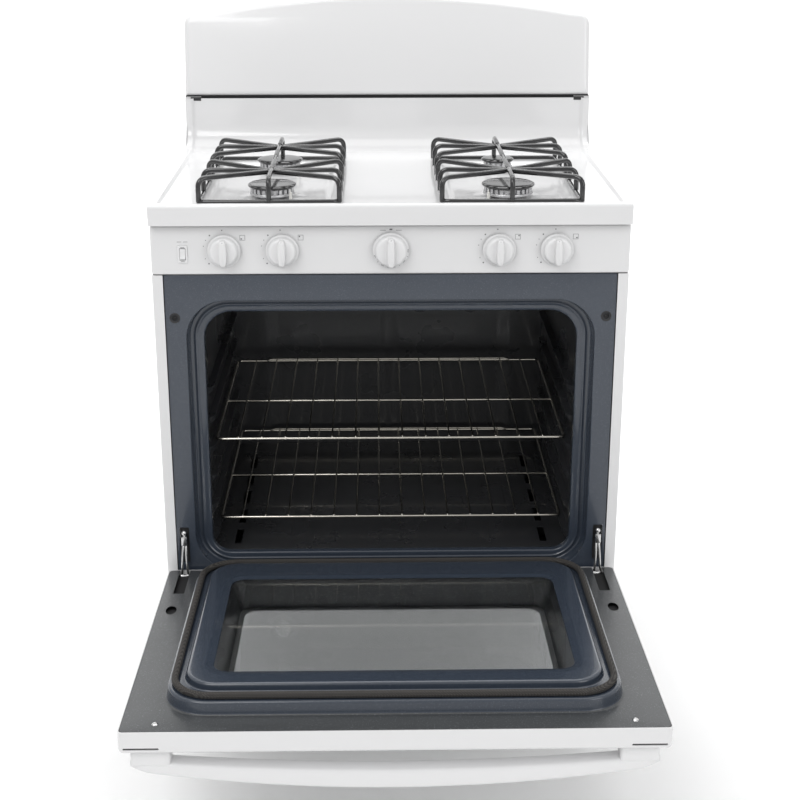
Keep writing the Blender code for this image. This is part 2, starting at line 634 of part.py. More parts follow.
def make_racks():
    """Two wire racks: cross rails and side rails, with the long wires welded over them."""
    for name, (level, front) in RACKS.items():
        rail, fine = 0.0030, 0.0018
        back = front + RACK_DEPTH
        half = RACK_HALF - rail
        bars = []
        for y in (front + rail, front + RACK_DEPTH * 0.45, back - rail):
            bars.append(((-half, y - rail, level - rail), (half, y + rail, level + rail)))
        sides = mirrored_boxes((half - rail, front + 0.0005, level - rail + 0.0003),
                               (half + rail, back - 0.0005, level + rail - 0.0003))
        rack = part(name, block(name, *bars), "chrome")
        join(rack, block(name + "_sides", *sides))
        count, pitch = RACK_WIRES
        wires = []
        for index in range(count):
            x = (index - (count - 1) / 2) * pitch
            wires.append(((x - fine, front + 0.0008, level + rail - 0.0012),
                          (x + fine, back - 0.0008, level + rail - 0.0012 + 2 * fine)))
        join(rack, block(name + "_wires", *wires))
        stop = [((-0.24, back - 0.0052, level + 0.0010), (0.24, back - 0.0016, level + 0.006))]
        join(rack, block(name + "_stop", *stop))


def make_door():
    """The door, drawn shut: an enamelled skin, an inner panel with a plug, two panes, a gasket and a handle."""
    low, high = DOOR_Z
    outer = tray("door_outer_panel", (-DOOR_HALF, DOOR_FACE_Y, low), (DOOR_HALF, DOOR_FLANGE_Y, high),
                 0.006, "white_enamel", DOOR, DOOR_SHUT)
    cut(outer, extruded("outer_window", rounded_rectangle(0.240, 0.372, 0.650, 0.020), "Y", -0.05, -0.03))
    cut(outer, block("door_vents", *mirrored_boxes((0.322, DOOR_FACE_Y + 0.0065, high - 0.01),
                                                   (0.371, DOOR_FACE_Y + 0.0095, high + 0.01))))
    part("door_glass_outer", block("door_glass_outer", ((-0.258, DOOR_FACE_Y + SHEET + FIT, 0.354),
                                                        (0.258, DOOR_FACE_Y + SHEET + FIT + 0.004, 0.668))),
         "glass", DOOR, DOOR_SHUT)
    make_inner_panel(low + SHEET + FIT, high - SHEET - FIT)
    radius = 0.0050
    loop = [(x, PLATEAU_Y + radius + FIT, z) for x, z in rounded_rectangle(*GASKET, 0.055, 5)]
    part("door_gasket", wire("door_gasket", loop, radius, cyclic=True), "gasket", DOOR, DOOR_SHUT)
    make_handle()


def make_inner_panel(low, high):
    flange = (DOOR_FLANGE_Y - SHEET, DOOR_FLANGE_Y)
    half = DOOR_HALF - SHEET - FIT
    sheet = extruded("door_inner_panel", rounded_rectangle(half, low, high, 0.007, 2), "Y", *flange)
    panel = part("door_inner_panel", sheet, "blue_enamel", DOOR, DOOR_SHUT)
    slots = mirrored_boxes((HINGE_X - 0.009, -0.01, low - 0.01), (HINGE_X + 0.009, 0.0, 0.358))
    cut(panel, block("door_hinge_slots", *slots))
    half, bottom, top = PLATEAU
    plug_half, plug_low, plug_high = PLUG
    join(panel, extruded("plateau", rounded_rectangle(half, bottom, top, 0.060), "Y", flange[0] + 0.0004,
                         PLATEAU_Y))
    join(panel, extruded("plug", rounded_rectangle(plug_half, plug_low, plug_high, 0.045),
                         "Y", PLATEAU_Y - SHEET / 2, PLUG_Y))
    inner = rounded_rectangle(half - SHEET, bottom + SHEET, top - SHEET, 0.0585)
    cut(panel, extruded("plateau_hollow", inner, "Y", -0.020, PLATEAU_Y - SHEET))
    hollow = rounded_rectangle(plug_half - SHEET, plug_low + SHEET, plug_high - SHEET, 0.0435)
    cut(panel, extruded("plug_hollow", hollow, "Y", 0.006, PLUG_Y - SHEET))
    cut(panel, extruded("window", rounded_rectangle(*WINDOW, 0.022), "Y", PLUG_Y - 0.010, PLUG_Y + 0.010))
    window_half, window_low, window_high = WINDOW
    pane, overlap, face = 0.004, 0.014, PLUG_Y - SHEET - FIT
    low_corner = (-window_half - overlap, face - pane, window_low - overlap)
    high_corner = (window_half + overlap, face, window_high + overlap)
    part("door_glass_inner", block("door_glass_inner", (low_corner, high_corner)), "glass", DOOR, DOOR_SHUT)


def make_handle():
    """A bowed handle, standing on a broad post at each end."""
    end, post = 0.365, 0.307
    base = DOOR_FACE_Y - FIT
    outer = []
    inner = []
    for step in range(17):
        share = step / 8 - 1
        outer.append((end * share, base - 0.033 - 0.030 * (1 - share * share)))
        inner.append((-post * share, base - 0.018 - 0.018 * (1 - share * share)))
    outline = [(-end, base), *outer, (end, base), (post, base), *inner, (-post, base)]
    handle = part("door_handle", extruded("door_handle", outline, "Z", 0.752, 0.782), "white_plastic", DOOR,
                  DOOR_SHUT)
    bevelled(handle, 0.003, 1)


def make_hinges():
    """The arms that hook into the oven's frame and carry the door on its pivot."""
    y, z = PIVOT
    for side, name in ((-1, "hinge_arm_left"), (1, "hinge_arm_right")):
        outline = [*arc((y, z), 0.0045, 180, 360, 4), (y + 0.004, 0.301), (0.0165, 0.341), (0.0165, 0.351),
                   (0.008, 0.351), (y - 0.004, 0.305)]
        part(name, extruded(name, outline, "X", side * HINGE_X - 0.005, side * HINGE_X + 0.005), "steel")


def make_drawer():
    """The drawer under the oven: an enamelled front on an open steel box."""
    low, high = DRAWER_Z
    tray("drawer_front", (-DOOR_HALF, -0.032, low), (DOOR_HALF, -0.002, high), 0.006, "white_enamel")
    box = part("drawer_box", block("drawer_box", ((-0.330, -0.0012, 0.0765), (0.330, 0.555, 0.215))),
               "steel")
    cut(box, block("drawer_inside", ((-0.330 + SHEET, -0.0012 + SHEET, 0.0765 + SHEET),
                                     (0.330 - SHEET, 0.555 - SHEET, 0.3))))


make_base()
make_sides()
make_back()
make_cooktop()
make_burners()
make_grates()
make_control_panel()
make_switch()
make_gas_train()
make_knobs()
make_backguard()
make_oven()
make_racks()
make_door()
make_hinges()
make_drawer()
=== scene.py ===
"""The looks of a freestanding gas range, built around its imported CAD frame. Metres, +Z up, the door at -Y."""

from math import cos, hypot, pi, radians, sin, sqrt

import bmesh
import bpy
import numpy as np
from mathutils import Matrix, Vector


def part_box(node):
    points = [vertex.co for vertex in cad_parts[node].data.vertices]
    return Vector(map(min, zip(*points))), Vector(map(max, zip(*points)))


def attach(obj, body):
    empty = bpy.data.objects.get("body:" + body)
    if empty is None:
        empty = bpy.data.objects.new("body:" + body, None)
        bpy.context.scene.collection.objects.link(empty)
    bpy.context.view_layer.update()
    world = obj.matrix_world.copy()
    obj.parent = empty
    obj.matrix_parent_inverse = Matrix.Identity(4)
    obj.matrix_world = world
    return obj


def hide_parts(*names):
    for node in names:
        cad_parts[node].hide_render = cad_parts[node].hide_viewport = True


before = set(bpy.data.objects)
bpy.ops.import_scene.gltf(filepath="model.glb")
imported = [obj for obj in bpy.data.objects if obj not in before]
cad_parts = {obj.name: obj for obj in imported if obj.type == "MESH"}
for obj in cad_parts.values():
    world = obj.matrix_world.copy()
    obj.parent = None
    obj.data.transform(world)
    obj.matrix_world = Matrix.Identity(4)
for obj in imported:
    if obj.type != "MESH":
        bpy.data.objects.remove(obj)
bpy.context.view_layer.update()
scene = bpy.context.scene
scene.view_settings.view_transform = "Standard"

# ---------------------------------------------------------------- places, read from the frame
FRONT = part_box("control_panel")[0].y
PANEL_LOW, PANEL_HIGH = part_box("control_panel")
HALF = PANEL_HIGH.x
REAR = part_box("backguard_panel")[1].y - FRONT
GUARD_LOW, GUARD_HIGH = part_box("backguard_panel")
RANGE = Matrix.Translation((0.0, FRONT, 0.0))
PIVOT = (-0.012, 0.273)  # y and z of the door hinge's axis
DOOR_SWING = radians(87.8)
DOOR = (RANGE @ Matrix.Translation((0.0, *PIVOT)) @ Matrix.Rotation(DOOR_SWING, 4, "X")
        @ Matrix.Translation((0.0, -PIVOT[0], -PIVOT[1])))
DECK_Z, COOKTOP_Z, LIP_Z = 0.910, 0.914, 0.880
RISER_Y, RISER_Z = 0.511, 1.004
BURNER_X, BURNER_Y = 0.192, (0.088, 0.306)
KNOB_Z = 0.838
KNOB_X = {"left_outer": -0.264, "left_inner": -0.172, "oven": 0.0, "right_inner": 0.172,
          "right_outer": 0.264}
SWITCH = (-0.330, 0.832)
CAVITY_HALF, CAVITY_BACK, CAVITY_Z = 0.3090, 0.556, (0.248, 0.745)
RACK_LEVELS = [0.322 + 0.0533 * level for level in range(6)]
RACK_HALF, RACK_DEPTH, RACK_WIRES, WIRE_PITCH = 0.3020, 0.428, 14, 0.0403
HINGE_X = 0.350
BUMPER_X, BUMPER_Z = 0.348, 0.725
SHEET = 0.0015


# ---------------------------------------------------------------- materials
def node(tree, kind, **inputs):
    made = tree.nodes.new(kind)
    for name, value in inputs.items():
        made.inputs[name.replace("_", " ")].default_value = value
    return made


def material(name, colour, roughness, metallic=0.0, coat=0.0, speck=None, bump=None, wear=None, **sockets):
    """A Principled surface. speck is (scale, size, colour), bump is (scale, strength, detail) and wear is
    (scale, how much the roughness wanders)."""
    made = bpy.data.materials.new(name)
    made.use_nodes = True
    tree = made.node_tree
    shader = tree.nodes["Principled BSDF"]
    shader.inputs["Base Color"].default_value = (*colour, 1.0)
    shader.inputs["Roughness"].default_value = roughness
    shader.inputs["Metallic"].default_value = metallic
    shader.inputs["Coat Weight"].default_value = coat
    shader.inputs["Coat Roughness"].default_value = 0.06
    for socket, value in sockets.items():
        shader.inputs[socket.replace("_", " ")].default_value = value
    where = tree.nodes.new("ShaderNodeTexCoord").outputs["Object"]
    if speck:
        scale, size, other = speck
        flecks = node(tree, "ShaderNodeTexNoise", Scale=scale, Detail=2.0, Roughness=0.7)
        tree.links.new(where, flecks.inputs["Vector"])
        ramp = tree.nodes.new("ShaderNodeValToRGB")
        ramp.color_ramp.elements[0].position = 0.62 - size
        ramp.color_ramp.elements[0].color = (*colour, 1.0)
        ramp.color_ramp.elements[1].position = 0.70 - size / 2
        ramp.color_ramp.elements[1].color = (*other, 1.0)
        tree.links.new(flecks.outputs["Fac"], ramp.inputs["Fac"])
        tree.links.new(ramp.outputs["Color"], shader.inputs["Base Color"])
    if wear:
        scale, reach = wear
        clouds = node(tree, "ShaderNodeTexNoise", Scale=scale, Detail=4.0)
        tree.links.new(where, clouds.inputs["Vector"])
        span = tree.nodes.new("ShaderNodeMapRange")
        span.inputs["To Min"].default_value = max(roughness - reach, 0.02)
        span.inputs["To Max"].default_value = roughness + reach
        tree.links.new(clouds.outputs["Fac"], span.inputs["Value"])
        tree.links.new(span.outputs["Result"], shader.inputs["Roughness"])
    if bump:
        scale, strength, detail = bump
        grain = node(tree, "ShaderNodeTexNoise", Scale=scale, Detail=detail)
        tree.links.new(where, grain.inputs["Vector"])
        relief = node(tree, "ShaderNodeBump", Strength=strength, Distance=0.001)
        tree.links.new(grain.outputs["Fac"], relief.inputs["Height"])
        tree.links.new(relief.outputs["Normal"], shader.inputs["Normal"])
    return made


WHITE = material("porcelain_white", (0.72, 0.72, 0.725), 0.16, coat=0.5, bump=(90.0, 0.04, 1.0),
                 wear=(7.0, 0.03))
PLASTIC = material("moulded_white", (0.74, 0.74, 0.745), 0.34, bump=(900.0, 0.05, 3.0), wear=(20.0, 0.05))
BLUE = material("speckled_enamel", (0.034, 0.044, 0.062), 0.24, coat=0.6, bump=(160.0, 0.08, 2.0),
                speck=(900.0, 0.01, (0.095, 0.112, 0.145)), wear=(9.0, 0.04))
CHARCOAL = material("oven_enamel", (0.026, 0.027, 0.030), 0.28, coat=0.5, bump=(140.0, 0.10, 2.0),
                    speck=(900.0, 0.01, (0.065, 0.070, 0.078)), wear=(8.0, 0.06))
FLANGE = material("flange_enamel", (0.040, 0.043, 0.046), 0.36, coat=0.2, bump=(300.0, 0.10, 3.0),
                  speck=(500.0, 0.02, (0.13, 0.14, 0.15)), wear=(14.0, 0.06))
BLACK = material("black_enamel", (0.010, 0.010, 0.011), 0.13, coat=0.8, bump=(120.0, 0.10, 2.0),
                 wear=(30.0, 0.04))
CHROME = material("rack_chrome", (0.70, 0.67, 0.60), 0.20, metallic=1.0, bump=(300.0, 0.06, 2.0),
                  wear=(25.0, 0.06))
STEEL = material("galvanised_steel", (0.46, 0.47, 0.48), 0.40, metallic=1.0, bump=(60.0, 0.05, 3.0),
                 speck=(45.0, 0.12, (0.56, 0.57, 0.58)), wear=(18.0, 0.10))
BRIGHT = material("bright_steel", (0.66, 0.66, 0.66), 0.20, metallic=1.0, bump=(400.0, 0.05, 2.0),
                  wear=(60.0, 0.06))
CAST = material("cast_aluminium", (0.62, 0.62, 0.63), 0.38, metallic=1.0, bump=(700.0, 0.25, 3.0),
                wear=(50.0, 0.08))
BRASS = material("brass", (0.60, 0.43, 0.18), 0.30, metallic=1.0, bump=(500.0, 0.08, 2.0),
                 wear=(40.0, 0.06))
RUBBER = material("soft_black", (0.018, 0.018, 0.019), 0.62, bump=(700.0, 0.20, 3.0), wear=(60.0, 0.08))
GREY = material("foot_plastic", (0.24, 0.24, 0.25), 0.45, bump=(600.0, 0.12, 3.0), wear=(40.0, 0.06))
INK = material("printed_grey", (0.13, 0.13, 0.14), 0.45, bump=(900.0, 0.04, 2.0))
# Painted shade: a near-black finish for boxes set in gaps, slots, vents and the door's inside, standing in for
# the shade there.
SHADOW = material("painted_gap_shade", (0.012, 0.012, 0.013), 0.80, bump=(500.0, 0.10, 2.0))
GLASS = material("window_glass", (0.86, 0.87, 0.87), 0.02, bump=(12.0, 0.01, 1.0), Transmission_Weight=1.0,
                 IOR=1.5)
LAMP = material("lamp_glass", (0.86, 0.87, 0.86), 0.10, bump=(80.0, 0.10, 1.0), Transmission_Weight=0.85,
                IOR=1.46)
GLAZE = material("electrode_ceramic", (0.70, 0.69, 0.66), 0.22, coat=0.3, bump=(300.0, 0.04, 1.0))


def braid():
    """The door gasket's woven sleeve: two slanted wave patterns crossed over each other."""
    made = material("woven_gasket", (0.040, 0.037, 0.034), 0.85, wear=(80.0, 0.06))
    tree = made.node_tree
    shader = tree.nodes["Principled BSDF"]
    where = tree.nodes.new("ShaderNodeTexCoord").outputs["Object"]
    heights = []
    for turn in (radians(45), radians(-45)):
        slant = node(tree, "ShaderNodeMapping", Rotation=(turn, turn, turn))
        weave = node(tree, "ShaderNodeTexWave", Scale=150.0, Distortion=0.6)
        tree.links.new(where, slant.inputs["Vector"])
        tree.links.new(slant.outputs["Vector"], weave.inputs["Vector"])
        heights.append(weave.outputs["Fac"])
    mix = tree.nodes.new("ShaderNodeMath")
    mix.operation = "MULTIPLY"
    tree.links.new(heights[0], mix.inputs[0])
    tree.links.new(heights[1], mix.inputs[1])
    ramp = tree.nodes.new("ShaderNodeValToRGB")
    ramp.color_ramp.elements[0].color = (0.018, 0.016, 0.015, 1.0)
    ramp.color_ramp.elements[1].color = (0.105, 0.098, 0.090, 1.0)
    tree.links.new(mix.outputs[0], ramp.inputs["Fac"])
    tree.links.new(ramp.outputs["Color"], shader.inputs["Base Color"])
    relief = node(tree, "ShaderNodeBump", Strength=0.6, Distance=0.001)
    tree.links.new(mix.outputs[0], relief.inputs["Height"])
    tree.links.new(relief.outputs["Normal"], shader.inputs["Normal"])
    return made


BRAID = braid()


# ---------------------------------------------------------------- mesh helpers
def soft(value):
    """A smooth step from 0 to 1."""
    value = min(max(value, 0.0), 1.0)
    return value * value * (3 - 2 * value)


def shown(name, data):
    """A new object in the scene."""
    obj = bpy.data.objects.new(name, data)
    scene.collection.objects.link(obj)
    return obj


def applied(obj):
    """The object's mesh with its modifiers applied."""
    bpy.context.view_layer.update()
    return bpy.data.meshes.new_from_object(obj.evaluated_get(bpy.context.evaluated_depsgraph_get()))


def mesh_of(name, points, faces, smooth_to=35.0):
    """A mesh with its seams welded, its faces pointing out and its soft edges shaded smooth."""
    shape = bmesh.new()
    corners = [shape.verts.new(point) for point in points]
    for face in faces:
        if len(set(face)) > 2:
            shape.faces.new([corners[index] for index in dict.fromkeys(face)])
    return from_bmesh(name, shape, smooth_to)


def from_bmesh(name, shape, smooth_to=35.0):
    bmesh.ops.remove_doubles(shape, verts=shape.verts, dist=2e-6)
    bmesh.ops.dissolve_degenerate(shape, edges=shape.edges, dist=1e-6)
    bmesh.ops.recalc_face_normals(shape, faces=shape.faces)
    made = bpy.data.meshes.new(name)
    shape.to_mesh(made)
    shape.free()
    made.shade_smooth()
    made.set_sharp_from_angle(angle=radians(smooth_to))
    return made


def loft(name, rings, closed=True, cap_start=False, cap_end=False, smooth_to=35.0):
    """A skin through rings of equally many points."""
    count = len(rings[0])
    points = [point for ring in rings for point in ring]
    faces = []
    for level in range(len(rings) - 1):
        base = level * count
        for index in range(count if closed else count - 1):
            after = (index + 1) % count
            faces.append((base + index, base + after, base + count + after, base + count + index))
    if cap_start:
        faces.append(tuple(range(count)))
    if cap_end:
        faces.append(tuple(range(len(points) - count, len(points))))
    return mesh_of(name, points, faces, smooth_to)


def merged(name, meshes, smooth_to=35.0):
    shape = bmesh.new()
    for mesh in meshes:
        shape.from_mesh(mesh)
        bpy.data.meshes.remove(mesh)
    bmesh.ops.recalc_face_normals(shape, faces=shape.faces)
    made = bpy.data.meshes.new(name)
    shape.to_mesh(made)
    shape.free()
    made.shade_smooth()
    made.set_sharp_from_angle(angle=radians(smooth_to))
    return made


def placed(mesh, matrix):
    """The mesh, moved by a matrix."""
    mesh.transform(matrix)
    return mesh


def filleted(path, steps=4):
    """A 2-D path of (u, v) or (u, v, radius) with its corners rounded."""
    done = []
    for index, point in enumerate(path):
        here = Vector(point[:2])
        radius = point[2] if len(point) > 2 else 0.0
        if not radius or index in (0, len(path) - 1):
            done.append(tuple(here))
            continue
        before = Vector(path[index - 1][:2]) - here
        after = Vector(path[index + 1][:2]) - here
        reach = min(radius, before.length * 0.49, after.length * 0.49)
        start, end = here + before.normalized() * reach, here + after.normalized() * reach
        for step in range(steps + 1):
            share = step / steps
            done.append(tuple(start * (1 - share) ** 2 + here * 2 * share * (1 - share) + end * share ** 2))
    return done


def bent(path, radius, steps=5):
    """A 3-D path with each inner corner bent to a radius."""
    path = [Vector(point) for point in path]
    done = [path[0]]
    for before, here, after in zip(path, path[1:], path[2:]):
        back, on = before - here, after - here
        reach = min(radius, back.length * 0.49, on.length * 0.49)
        start, end = here + back.normalized() * reach, here + on.normalized() * reach
        for step in range(steps + 1):
            share = step / steps
            done.append(start * (1 - share) ** 2 + here * 2 * share * (1 - share) + end * share ** 2)
    return done + [path[-1]]


def tube(name, path, radius, sides=12, closed=False, flat=1.0):
    """A round bar along a 3-D path, with domed ends. flat squeezes it across its second axis."""
    path = [Vector(point) for point in path]
    count = len(path)
    tangents = []
    for index in range(count):
        before = path[index - 1] if closed or index else path[0]
        after = path[(index + 1) % count] if closed or index < count - 1 else path[-1]
        tangents.append((after - before).normalized())
    up = Vector((0, 0, 1)) if abs(tangents[0].z) < 0.9 else Vector((0, 1, 0))
    frames = []
    side = tangents[0].cross(up).normalized()
    for point, tangent in zip(path, tangents):
        side = (side - tangent * side.dot(tangent)).normalized()
        other = tangent.cross(side)
        frames.append((point, side, other, tangent))
    made = []
    stations = [(index, 1.0, 0.0) for index in range(count)]
    if not closed:
        dome = [(0.0, 1.0), (0.5, 0.87), (0.87, 0.5)]
        stations = ([(0, share, -reach) for share, reach in dome] + stations
                    + [(count - 1, share, reach) for share, reach in dome[::-1]])
    for index, share, reach in stations:
        point, side, other, tangent = frames[index]
        middle = point + tangent * reach * radius * 0.9
        made.append([middle + (side * cos(2 * pi * k / sides) + other * sin(2 * pi * k / sides) * flat)
                     * radius * max(share, 0.02) for k in range(sides)])
    if closed:
        made.append(made[0])
    return loft(name, made, cap_start=not closed, cap_end=not closed)


def turned(name, profile, steps=48, smooth_to=35.0):
    """A body turned about Z from a profile of (radius, z)."""
    rings = [[(radius * cos(2 * pi * k / steps), radius * sin(2 * pi * k / steps), z) for k in range(steps)]
             for radius, z in profile]
    return loft(name, rings, smooth_to=smooth_to)


def rounded_rectangle(half, low, high, radius, steps=8, low_radius=None):
    points = []
    for turn, (side, level) in enumerate(((1, high), (-1, high), (-1, low), (1, low))):
        bend = low_radius if low_radius and level == low else radius
        middle = (side * (half - bend), level - bend if level == high else level + bend)
        for step in range(steps + 1):
            angle = pi / 2 * (turn + step / steps)
            points.append((middle[0] + bend * cos(angle), middle[1] + bend * sin(angle)))
    return points


def pressed(name, outlines, profile, steps=8, smooth_to=35.0):
    """A pressed sheet. outlines lists (half width, low, high, corner radius, lower corner radius) from the
    middle outwards, and the profile is (half width, y) from one edge to the other."""
    halves = [row[0] for row in outlines]
    rings = []
    for half, y in profile:
        low, high, bend, foot = (np.interp(half, halves,
                                           [row[column] for row in outlines]) for column in (1, 2, 3, 4))
        rings.append([(x, y, z) for x, z in rounded_rectangle(half, low, high, bend, steps, foot)])
    return loft(name, rings, smooth_to=smooth_to)


def box_mesh(name, low, high, bevel=0.0, segments=3):
    """A box from its lowest to its highest corner, with its edges rounded."""
    low, high = Vector(low), Vector(high)
    shape = bmesh.new()
    place = Matrix.Translation((low + high) / 2) @ Matrix.Diagonal((*(high - low), 1.0))
    bmesh.ops.create_cube(shape, size=1.0, matrix=place)
    if bevel:
        bmesh.ops.bevel(shape, geom=shape.edges[:], offset=bevel, segments=segments, profile=0.5,
                        affect="EDGES", clamp_overlap=True)
    return from_bmesh(name, shape)


def prism(name, outline, start, end, axis="Y"):
    """A flat outline of (u, v) made solid along an axis."""
    turn = {"X": lambda u, v, w: (w, u, v), "Y": lambda u, v, w: (u, w, v), "Z": lambda u, v,
            w: (u, v, w)}[axis]
    rings = [[turn(u, v, level) for u, v in outline] for level in (start, end)]
    return loft(name, rings, cap_start=True, cap_end=True)


def carved(obj, cutters):
    """Cuts the cutter meshes out of the object."""
    cutter = shown(obj.name + "_cutter", merged(obj.name + "_cutter", cutters))
    modifier = obj.modifiers.new("cut", "BOOLEAN")
    modifier.operation = "DIFFERENCE"
    modifier.solver = "EXACT"
    modifier.use_self = True
    modifier.object = cutter
    result = applied(obj)
    obj.modifiers.clear()
    obj.data = result
    bpy.data.objects.remove(cutter)
    obj.data.shade_smooth()
    obj.data.set_sharp_from_angle(angle=radians(35))


def piece(name, mesh, finish, body="range_body", replaces=(), place=RANGE, cuts=()):
    """One visible piece: placed in the row frame, cut, finished and riding on its body."""
    mesh.transform(place)
    mesh.name = name
    made = shown(name, mesh)
    if cuts:
        for cutter in cuts:
            cutter.transform(place)
        carved(made, cuts)
    made.data.materials.clear()
    made.data.materials.append(finish)
    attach(made, body)
    if replaces:
        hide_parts(*replaces)
    return made


def thickened(mesh, thickness):
    """An open skin given its sheet thickness."""
    obj = shown("thick", mesh)
    modifier = obj.modifiers.new("sheet", "SOLIDIFY")
    modifier.thickness = thickness
    modifier.offset = -1.0
    made = applied(obj)
    bpy.data.objects.remove(obj)
    return made


# ---------------------------------------------------------------- body of the range
def make_cooktop():
    """The pressed top: lip, rimmed deck with two soft-edged wells, cove and riser, as one formed sheet."""
    cove = 0.046
    path = filleted([(-0.012, LIP_Z), (-0.012, COOKTOP_Z, 0.009), (0.0015, COOKTOP_Z, 0.004),
                     (0.010, DECK_Z, 0.005), (0.020, DECK_Z)], 5)
    path += [(0.020 + (RISER_Y - cove - 0.020) * step / 130, DECK_Z) for step in range(1, 131)]
    for step in range(1, 15):
        angle = radians(-90 + 90 * step / 14)
        path.append((RISER_Y - cove + cove * cos(angle), DECK_Z + cove + cove * sin(angle)))
    path += [(RISER_Y, DECK_Z + cove + (RISER_Z - DECK_Z - cove) * step / 4) for step in range(1, 5)]
    spread = [-1 + 2 * step / 216 for step in range(217)]
    edge = [0.0, 0.0006, 0.0015, 0.003, 0.005, 0.0075, 0.0095, 0.0115, 0.013, 0.0145, 0.0165, 0.0185, 0.021]
    columns = sorted([-HALF + reach for reach in edge] + [share * (HALF - 0.0235) for share in spread]
                     + [HALF - reach for reach in edge])

    def well_depth(x, y):
        across = abs(abs(x) - BURNER_X) - (0.0965 - 0.026)
        along = abs(y - sum(BURNER_Y) / 2) - (0.109 + 0.0595 - 0.026)
        outside = hypot(max(across, 0), max(along, 0)) + min(max(across, along), 0) - 0.026
        ramp = soft(-outside / 0.016 + 0.25)
        centre = min(hypot(abs(x) - BURNER_X, y - row) for row in BURNER_Y)
        return 0.0072 * ramp - 0.0022 * soft((0.062 - centre) / 0.030) * ramp

    rings = []
    for index, (y, z) in enumerate(path):
        before, after = path[max(index - 1, 0)], path[min(index + 1, len(path) - 1)]
        length = hypot(after[0] - before[0], after[1] - before[1])
        normal = (-(after[1] - before[1]) / length, (after[0] - before[0]) / length)
        ring = []
        for x in columns:
            inward = HALF - abs(x)
            rise = 0.0
            if y > 0.0:
                rise = 0.0040 * soft((0.0185 - inward) / 0.0075) * soft(y / 0.008) * (z < COOKTOP_Z + 0.1)
                rise -= 0.0030 * (1 - sqrt(max(0.0, 1 - (1 - min(inward, 0.003) / 0.003) ** 2)))
            if DECK_Z - 0.001 < z < DECK_Z + 0.001 and y > 0.012:
                rise -= well_depth(x, y)
            ring.append((x, y + normal[0] * rise, z + normal[1] * rise))
        rings.append(ring)
    top = loft("cooktop_pressing", rings, closed=False, smooth_to=50)
    piece("cooktop_pressing", top, WHITE, replaces=("cooktop",))
    for side, word in ((-1, "left"), (1, "right")):
        skirt = [(-0.0118, LIP_Z), (-0.0118, 0.9085), (-0.004, 0.9120), (0.004, 0.9112),
                 (RISER_Y - 0.030, 0.9112),
                 (RISER_Y - 0.0005, 0.960), (RISER_Y - 0.0005, RISER_Z), (RISER_Y + 0.001, RISER_Z),
                 (RISER_Y + 0.001, LIP_Z)]
        ends = sorted((side * (HALF - 0.0012), side * (HALF - 0.0002)))
        piece(f"cooktop_skirt_{word}", prism("skirt", skirt, *ends, axis="X"), WHITE)

def make_burners():
    """Slotted heads with bright teeth, dark glossy caps and a spark electrode beside each."""
    radii = {"left_front": 0.0395, "left_rear": 0.040, "right_front": 0.0435, "right_rear": 0.029}
    for name, cap in radii.items():
        side = 1 if name.startswith("right") else -1
        place = RANGE @ Matrix.Translation((side * BURNER_X, BURNER_Y[name.endswith("rear")], 0.0))
        head = cap - 0.0055
        teeth = int(head * 700)
        profile = filleted([(0.004, 0.9215), (head - 0.004, 0.9215), (head - 0.004, 0.9150),
                            (head + 0.002, 0.9150, 0.001),
                            (head + 0.003, 0.9110, 0.002), (head - 0.004, 0.9085, 0.003), (0.022, 0.9045,
                                                                                           0.004),
                            (0.0198, 0.9000), (0.0198, 0.880)], 3)
        body = turned("burner_body", profile)
        tooth = []
        for index in range(teeth):
            turn = Matrix.Rotation(2 * pi * index / teeth, 4, "Z")
            wide = pi * head / teeth * 0.62
            tooth.append(placed(box_mesh("tooth", (head - 0.007, -wide, 0.9140),
                                         (head + 0.0008, wide, 0.9224), 0.0006, 1),
                                turn))
        piece(f"burner_crown_{name}", merged("crown", [body, *tooth]), CAST,
              replaces=(f"burner_head_{name}",), place=place)
        dome = filleted([(0.0005, 0.9289), (cap * 0.60, 0.9288), (cap - 0.0030, 0.9282, 0.003),
                         (cap, 0.9262, 0.0018),
                         (cap - 0.0008, 0.9236, 0.0012), (cap - 0.004, 0.9229), (0.0005, 0.9229)], 5)
        piece(f"burner_lid_{name}", turned("lid", dome, 64, 50), BLACK,
              replaces=(f"burner_cap_{name}",), place=place)
        post = turned("electrode", [(0.0005, 0.9200), (0.0022, 0.9185), (0.0026, 0.9150), (0.0026, 0.9030)],
                      16)
        tip = tube("electrode_tip", [(0, 0, 0.9190), (0, 0, 0.9235)], 0.0007, 8)
        outward = Matrix.Translation((-side * (head + 0.010) * 0.72, -(head + 0.010) * 0.72, 0.0))
        piece(f"spark_electrode_{name}", merged("electrode", [post, tip]), GLAZE,
              place=place @ outward)


